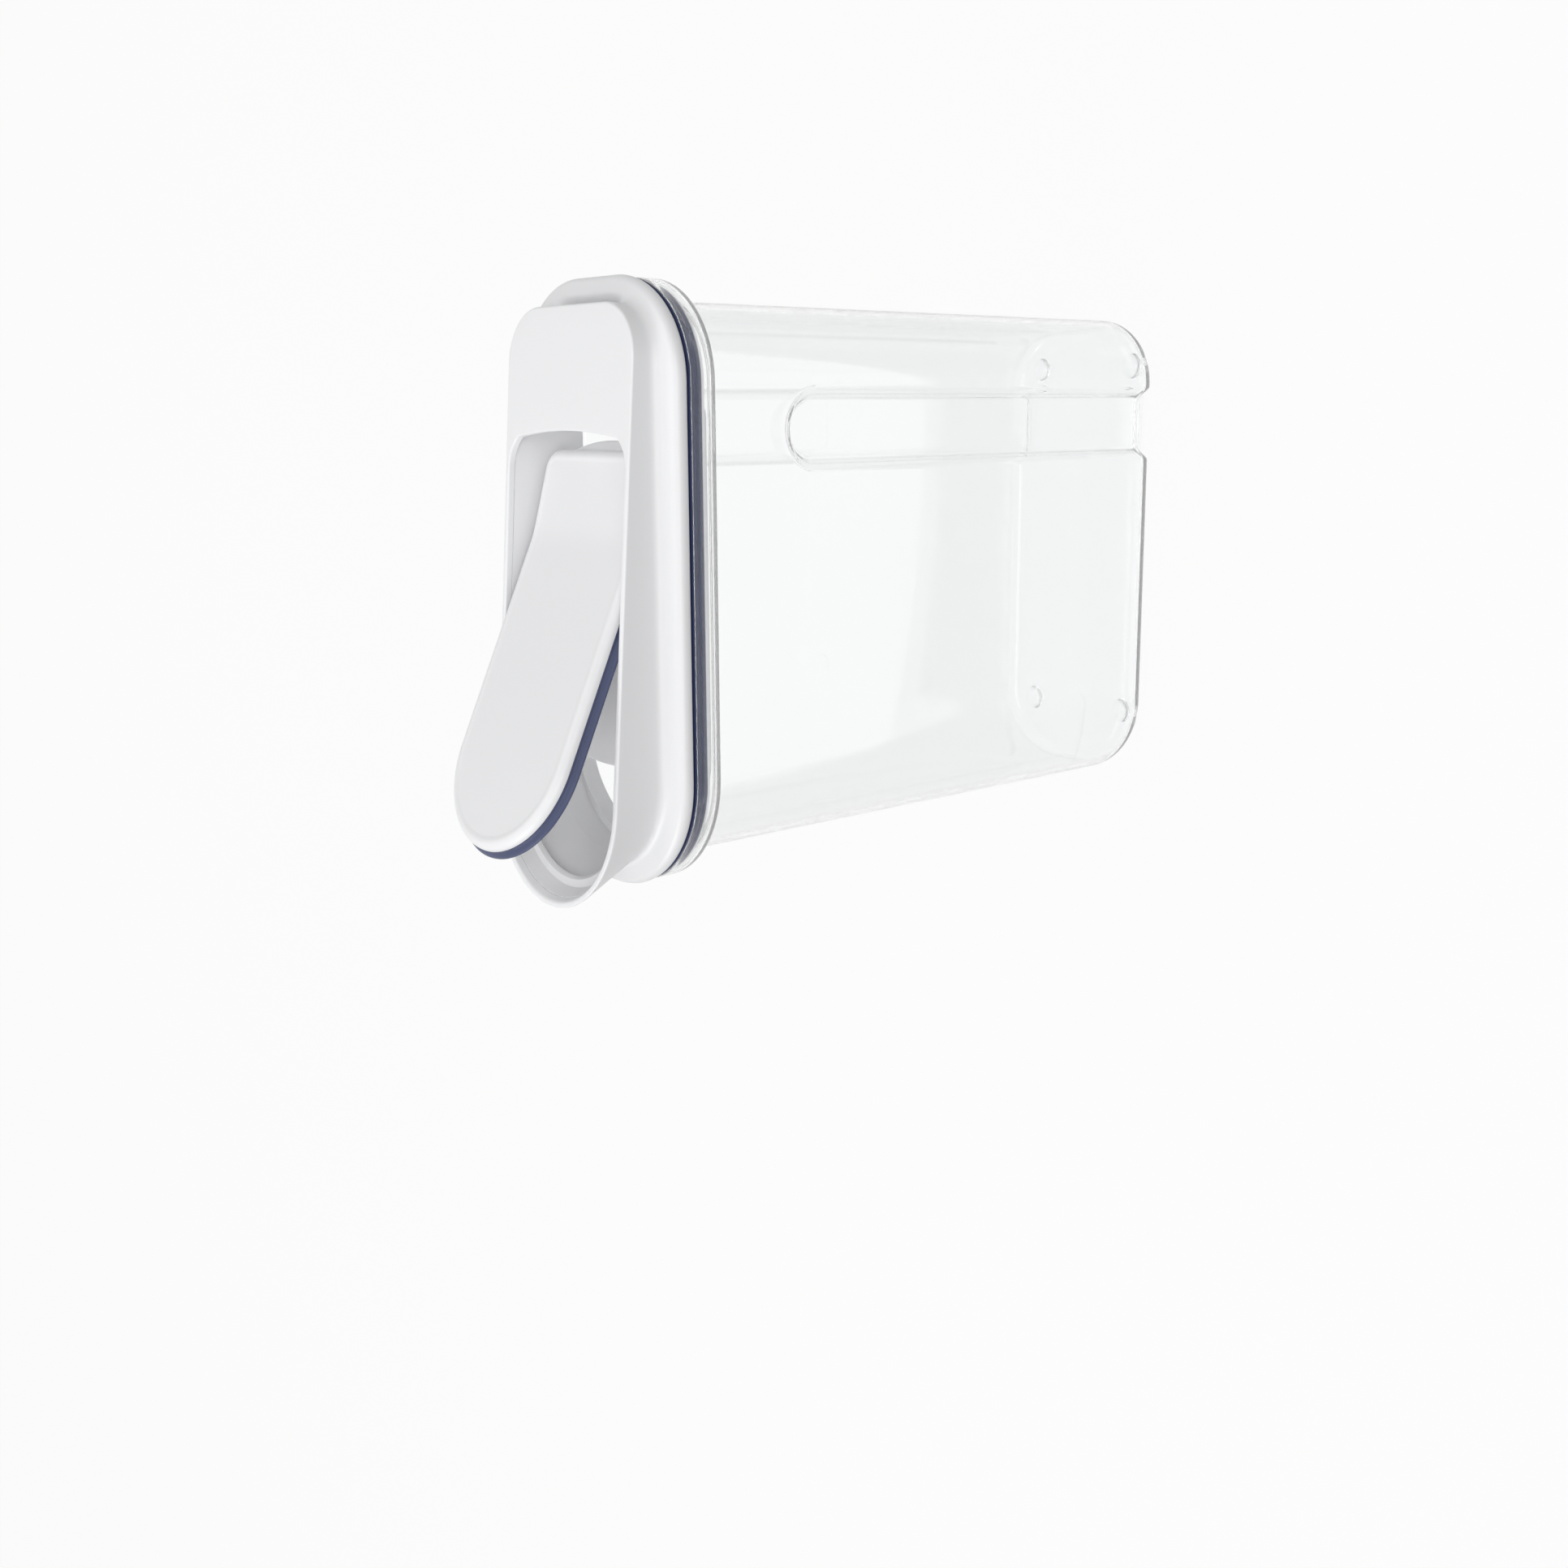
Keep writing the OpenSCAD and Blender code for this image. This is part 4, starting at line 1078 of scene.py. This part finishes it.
@dataclass(frozen=True)
class Studio:
    """Pale floor, soft lamps and the camera of the photograph."""

    lens: float = 36 * 2195.5 / 1932
    eye: tuple = (-0.0713, 0.5687, 0.6653)
    right: tuple = (0.0067, 0.6431, -0.7657)
    down: tuple = (0.9781, 0.1552, 0.1389)
    ahead: tuple = (0.2081, -0.7499, -0.6280)
    fill: float = 0.4
    floor_grey: float = 0.52
    floor_glow: float = 0.95
    floor_half: float = 9.0

    def camera(self) -> None:
        """Camera at the photograph's place, its axes the rows of the fitted view."""
        data = bpy.data.cameras.new("photo_camera")
        data.lens, data.sensor_width, data.sensor_fit = self.lens, 36, "AUTO"
        data.clip_start, data.clip_end = 0.01, 60
        rows = [self.right, [-v for v in self.down], [-v for v in self.ahead]]
        turn = Matrix(rows).transposed().to_quaternion().to_matrix().to_4x4()
        camera = bpy.data.objects.new("photo_camera", data)
        camera.matrix_world = Matrix.Translation(self.eye) @ turn
        bpy.context.scene.collection.objects.link(camera)
        bpy.context.scene.camera = camera

    def seen(self, g: Graph) -> Wire:
        """1 for camera, glossy and transmission rays."""
        path = g.node("ShaderNodeLightPath")
        both = path.out("Is Camera Ray") + path.out("Is Glossy Ray")
        return g.node("ShaderNodeMath", {"operation": "ADD", "use_clamp": True}, i0=both,
                      i1=path.out("Is Transmission Ray")).out()

    def world(self) -> None:
        """White to the eye, a plain soft fill for the object."""
        world = bpy.data.worlds.new("studio")
        world.use_nodes = True
        bpy.context.scene.world = world
        g = Graph(world.node_tree)
        soft = g.node("ShaderNodeBackground", None, Color=(1, 1, 1, 1), Strength=self.fill)
        white = g.node("ShaderNodeBackground", None, Color=(1, 1, 1, 1), Strength=1.0)
        mixed = g.node("ShaderNodeMixShader", None, i0=self.seen(g), i1=soft.out(), i2=white.out())
        g.node("ShaderNodeOutputWorld", None, Surface=mixed.out())

    def floor(self) -> None:
        """Pale floor that keeps part of the object's shadow."""
        made, g = blank("studio_floor")
        plain = g.node("ShaderNodeBsdfDiffuse", None, Color=(*[self.floor_grey] * 3, 1))
        glow = g.node("ShaderNodeEmission", None, Color=(1, 1, 1, 1), Strength=1.0)
        mixed = g.node("ShaderNodeMixShader", None, i0=self.seen(g) * self.floor_glow,
                       i1=plain.out(), i2=glow.out())
        g.node("ShaderNodeOutputMaterial", None, Surface=mixed.out())
        mesh = bpy.data.meshes.new("studio_floor")
        s = self.floor_half
        mesh.from_pydata([(-s, -s, 0), (s, -s, 0), (s, s, 0), (-s, s, 0)], [], [(0, 1, 2, 3)])
        mesh.materials.append(made)
        floor = bpy.data.objects.new("studio_floor", mesh)
        bpy.context.scene.collection.objects.link(floor)

    def lamp(self, name: str, at: tuple, aim: tuple, size: float, power: float) -> None:
        """A square soft lamp at a place, turned to a point."""
        data = bpy.data.lights.new(name, "AREA")
        data.size, data.energy = size, power
        lamp = bpy.data.objects.new(name, data)
        back = (np.asarray(at) - aim) / np.linalg.norm(np.asarray(at) - aim)
        side = np.cross([0.0, 1.0, 0.01], back)
        side /= np.linalg.norm(side)
        turn = Matrix([side, np.cross(back, side), back]).transposed().to_4x4()
        lamp.matrix_world = Matrix.Translation(at) @ turn
        bpy.context.scene.collection.objects.link(lamp)

    def build(self) -> None:
        """Puts up the whole studio."""
        bpy.context.scene.view_settings.view_transform = "Standard"
        self.camera()
        self.world()
        self.floor()
        self.lamp("top_lamp", (-0.35, -0.25, 1.6), (0.0, 0.0, 0.25), 1.1, 4.8)
        self.lamp("front_lamp", (-0.05, 1.35, 1.5), (0.0, 0.0, 0.28), 1.3, 12.5)
        self.lamp("spout_lamp", (1.15, 0.1, 1.25), (0.05, 0.0, 0.28), 0.8, 7.0)


def main() -> None:
    """Builds and dresses the sub-assemblies, then the studio."""
    logging.basicConfig(level=logging.INFO, format="%(name)s %(message)s")
    white, clear = WhitePlastic().material(), ClearPlastic().material()
    blue = Silicone().material()
    ring_blue = Silicone("blue_silicone_ring", (0.012, 0.020, 0.075),
                         (0.020, 0.032, 0.100)).material()
    plans = Plans()
    container = Container(plans)
    container.build(clear)
    container.feet(clear)
    lid = Lid(plans)
    lid.build(white)
    lid.plug(white)
    lid.gasket(ring_blue)
    PourGuide(plans).build(white)
    cover = FlipCover()
    cover.build(white)
    cover.plate(white)
    cover.gasket(blue)
    cover.pins(white)
    Studio().build()


if __name__ == "__main__":
    main()
